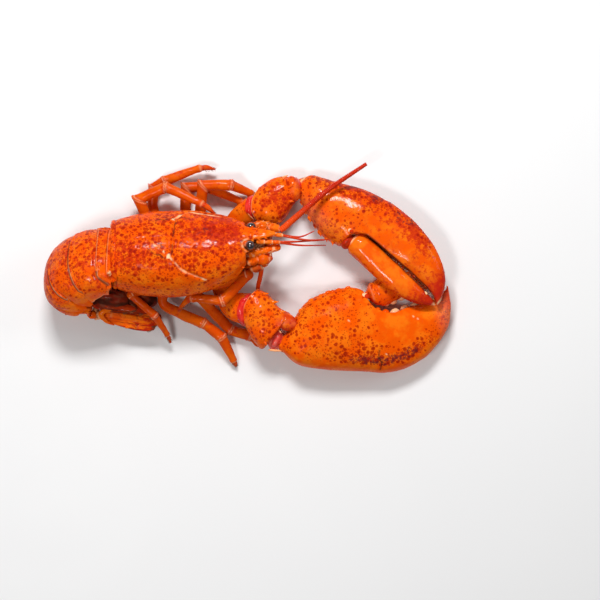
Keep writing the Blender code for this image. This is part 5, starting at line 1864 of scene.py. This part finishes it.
UPPER_TAPER = (0.85, 0.95, 1.1, 1.15)
SHANK_TAPER = (0.9, 1, 1.12, 1.12)
FOOT_TAPER = (1, 1.05, 0.72)
PINCER_LEGS = (2, 3)  # their feet end in a small pincer
SHARP_BEND = -0.3  # cosine of the turn at a knee that is folded back
OVERSHOOT = 3.6  # how far a stretch of leg runs past a bend before it is pressed back there


def breast():
    """The plate between the legs, in steps, with a knob at the root of each leg."""
    rows = []
    for s, half_width in BREAST:
        under = column_at(s, CARAPACE, 3)
        rows.append((s, -half_width, half_width, BREAST_FLOOR + BREAST_RISE * s, under + 1.5))
    plate = box_loft(BODY, rows, 110, 70, 2.8, (1.5, 1.5))
    s, u, _ = plate.xyz()
    steps = sum(hump(s, at - 5, 0.7) for at in LEG_ROOTS)
    plate.push(-0.8 * steps - 0.5 * hump(u, 0, 0.6) + 0.2 * plate.grain(3, 2))
    lips = sum(hump(s, at - 4, 0.5) for at in LEG_ROOTS)
    parts = [plate.brush(stain=0.2, cream=0.5 * hump(u, 0, 0.7) + 0.4 * lips, plain=0.5)]
    for at, (side, _) in product(LEG_ROOTS, SIDES):
        centre = (at, side * np.interp(at, *zip(*BREAST)) * 0.95, -17.5)
        knob = lump(BODY, centre, (4.6, 3.8, 4.2), 26, 16)
        parts.append(knob.brush(cream=0.45 * rise(abs(knob.points[..., 1]), 11, 14), plain=0.6))
    piece("breast_plate", parts, "sternum")


def length_of(points):
    return sum((b - a).length for a, b in zip(points, points[1:]))


def leg_stretch(points, radii, cuts, redness, seed):
    """One stretch of a leg, pressed square to the bends at its ends, with pale lips there."""
    rows = [(*point, radius) for point, radius in zip(points, radii)]
    skin = tube_loft(rows, max(int(length_of(points) / 0.8), 24), 30, 0.92)
    skin.roughen((0.16, 5, seed), (0.08, 2.2, seed + 1))
    cream = red = 0
    for point, facing in cuts:
        past = trimmed(skin, point, facing, 0.42)
        cream = cream + 0.5 * hump(past, -0.5, 0.35)
        red = red + 0.8 * hump(past, 0.1, 0.45) + 0.6 * hump(past, -1.5, 0.45)
    return skin.brush(
        cream=cream,
        red=red + redness * rise(skin.along(), 0.72, 0.98),
        stain=0.1 + 0.35 * skin.clouds(7, seed + 2, 0, 0.6),
        spots=0.25 * skin.clouds(9, seed + 3, -0.2, 0.4),
    )


def tip_hairs(start, end, radius, count, size):
    """Hairs that lie along a leg's last joint."""
    start, end = np.array(start), np.array(end)
    way = (end - start) / np.linalg.norm(end - start)
    side = np.cross(way, (0, 0, 1))
    side /= np.linalg.norm(side)
    draw = BRISTLES.random.uniform
    share = draw(0, 1, (count, 1))
    turn = draw(0, 2 * pi, (count, 1))
    out = side * np.cos(turn) + np.cross(side, way) * np.sin(turn)
    roots = start + (end - start) * share + out * (radius * (1 - 0.6 * share))
    BRISTLES.add(HERE, roots, out * 0.5 + way, size * draw(0.5, 1, count))


def leg(word, number, upper, lower):
    """A walking leg in three stretches, bent at its knee and wrist, with hairs on its foot."""
    upper = [Vector(point) for point in upper]
    knee, wrist, ankle, tip = upper[-1], *(Vector(point) for point in lower)
    thigh = (knee - upper[-2]).normalized()
    shin = (wrist - knee).normalized()
    foot = (ankle - wrist).normalized()
    toe = (tip - ankle).normalized()
    wrist_plane = (shin + foot).normalized()
    folded = thigh.dot(shin) < SHARP_BEND
    # Where the leg folds back on itself each stretch ends square, and a ball fills the knee.
    knee_plane = (thigh + shin).normalized()
    above_knee, below_knee = (thigh, -shin) if folded else (knee_plane, -knee_plane)
    seed = 100 + number * 7 + (50 if "right" in word else 0)
    girth = LEG_RADIUS * SLIM_LEGS.get(word, 1)

    radii = [girth * taper for taper in UPPER_TAPER[-len(upper) :]]
    points = [*upper, knee + thigh * OVERSHOOT]
    skin = leg_stretch(points, [*radii, radii[-1]], [(knee, above_knee)], 0, seed)
    # The short joints next to the breast: a thick ring and a slimmer one.
    along = skin.along()
    near = 9 / max(1, length_of(points))
    rings = 0.9 * hump(along, near * 0.5, near * 0.28) - 0.55 * hump(along, near * 1.15, near * 0.1)
    skin.push(rings + 0.3 * hump(along, near * 1.45, near * 0.2))
    skin.brush(
        red=0.7 * hump(along, near * 1.15, near * 0.07),
        cream=0.45 * hump(along, near * 0.98, near * 0.04),
    )
    piece(f"thigh_{word}", [skin], f"leg_{word}_merus", finish=LEG)

    points = [knee - shin * OVERSHOOT, knee, wrist, wrist + shin * OVERSHOOT]
    radii = [girth * taper for taper in SHANK_TAPER]
    shank = [leg_stretch(points, radii, [(knee, below_knee), (wrist, wrist_plane)], 0, seed + 3)]
    if folded:
        ball = lump(HERE, knee, (girth * 1.12,) * 3, 26, 18)
        shank.append(ball.brush(red=0.6 * ball.clouds(3, 5, -0.2, 0.4)))
    piece(f"shank_{word}", shank, f"leg_{word}_carpus", finish=LEG)

    points = [wrist - foot * OVERSHOOT, wrist, ankle, tip]
    radii = [*(girth * taper for taper in FOOT_TAPER), TIP_RADIUS]
    palm = leg_stretch(points, radii, [(wrist, -wrist_plane)], 0.75, seed + 5)
    whole = (ankle - wrist).length + (tip - ankle).length + OVERSHOOT
    bend = 1 - (tip - ankle).length / whole
    along = palm.along()
    palm.push(-0.4 * hump(along, bend, 0.02) + 0.3 * hump(along, bend - 0.05, 0.03))
    palm.brush(cream=0.4 * hump(along, bend - 0.03, 0.012), red=0.8 * hump(along, bend + 0.01, 0.018))
    parts = [palm]
    if number in PINCER_LEGS:
        # A second finger beside the tip.
        side = toe.cross(Vector((0, 0, 1))).normalized()
        root = ankle - toe * 1.5 + side * 1.6
        middle = root + toe * 3.4 + side * 0.6
        finger = tube_loft([(*root, 1.5), (*middle, 1.3), (*(tip - toe * 0.6 + side * 0.9), 0.5)], 26, 18)
        parts.append(finger.brush(red=0.75 * rise(finger.along(), 0.5, 0.95)))
    piece(f"foot_{word}", parts, f"leg_{word}_foot", finish=LEG)
    tip_hairs(ankle, tip, LEG_RADIUS * 0.62, 90, 0.8)
    tip_hairs(wrist + foot * 2, ankle, LEG_RADIUS * 0.95, 40, 0.45)


def legs():
    breast()
    for word, (upper, lower) in LEGS.items():
        leg(word, int(word[-1]), upper, lower)

# ---------------- studio

CAMERA_PLACE = (35.7, -21.7, 1250)
LENS = 106.4
FLOOR_REACH = 3
# Each light: azimuth, elevation, distance, sizes, power.
LIGHTS = {
    "key": (96, 52, 1.15, (0.36, 0.2), 11.5),
    "second": (-135, 66, 1.25, (0.3, 0.2), 5),
    "rim": (20, 35, 1.3, (0.5, 0.3), 2.2),
}


def soft_light(name, azimuth, elevation, distance, size, power):
    """A rectangular light that looks at the middle of the lobster."""
    data = bpy.data.lights.new(name, "AREA")
    data.shape = "RECTANGLE"
    data.size, data.size_y = size
    data.energy = power
    made = linked(name, data)
    out = Euler((0, -radians(elevation), radians(azimuth))).to_matrix() @ Vector((1, 0, 0))
    made.location = Vector((0, 0, 0.02)) + out * distance
    made.rotation_euler = out.to_track_quat("Z", "Y").to_euler()


def studio():
    scene = bpy.context.scene
    scene.view_settings.view_transform = "Standard"
    corners = [(x * FLOOR_REACH, y * FLOOR_REACH, 0) for x, y in ((-1, -1), (1, -1), (1, 1), (-1, 1))]
    floor = bpy.data.meshes.new("floor")
    floor.from_pydata(corners, [], [(0, 1, 2, 3)])
    pale, dark = (0.83, 0.83, 0.83), (0.8, 0.8, 0.805)
    floor.materials.append(plain_finish("pale_floor", 160, dark, pale, 30, (0.1, 0.5)))
    linked("floor", floor)
    for name, row in LIGHTS.items():
        soft_light(name, *row)
    world = bpy.data.worlds.new("studio")
    world.use_nodes = True
    sky = world.node_tree.nodes["Background"].inputs
    sky["Color"].default_value = (1, 0.99, 0.98, 1)
    sky["Strength"].default_value = 0.2
    scene.world = world
    data = bpy.data.cameras.new("camera")
    data.lens = LENS
    data.clip_end = 10
    scene.camera = linked("camera", data)
    scene.camera.location = Vector(CAMERA_PLACE) * MM


studio()
carapace()
tail()
head()
seizer()
crusher()
arms()
legs()
SPINES.grown("shell_thorns", SHELL, Length=0.0028, Width=0.001, Bend=0.15, Lean=0.12, Sides=9)
BRISTLES.grown("brown_bristles", BRISTLE, Length=0.0022, Width=0.00016, Bend=0.25, Lean=0.3, Sides=4)
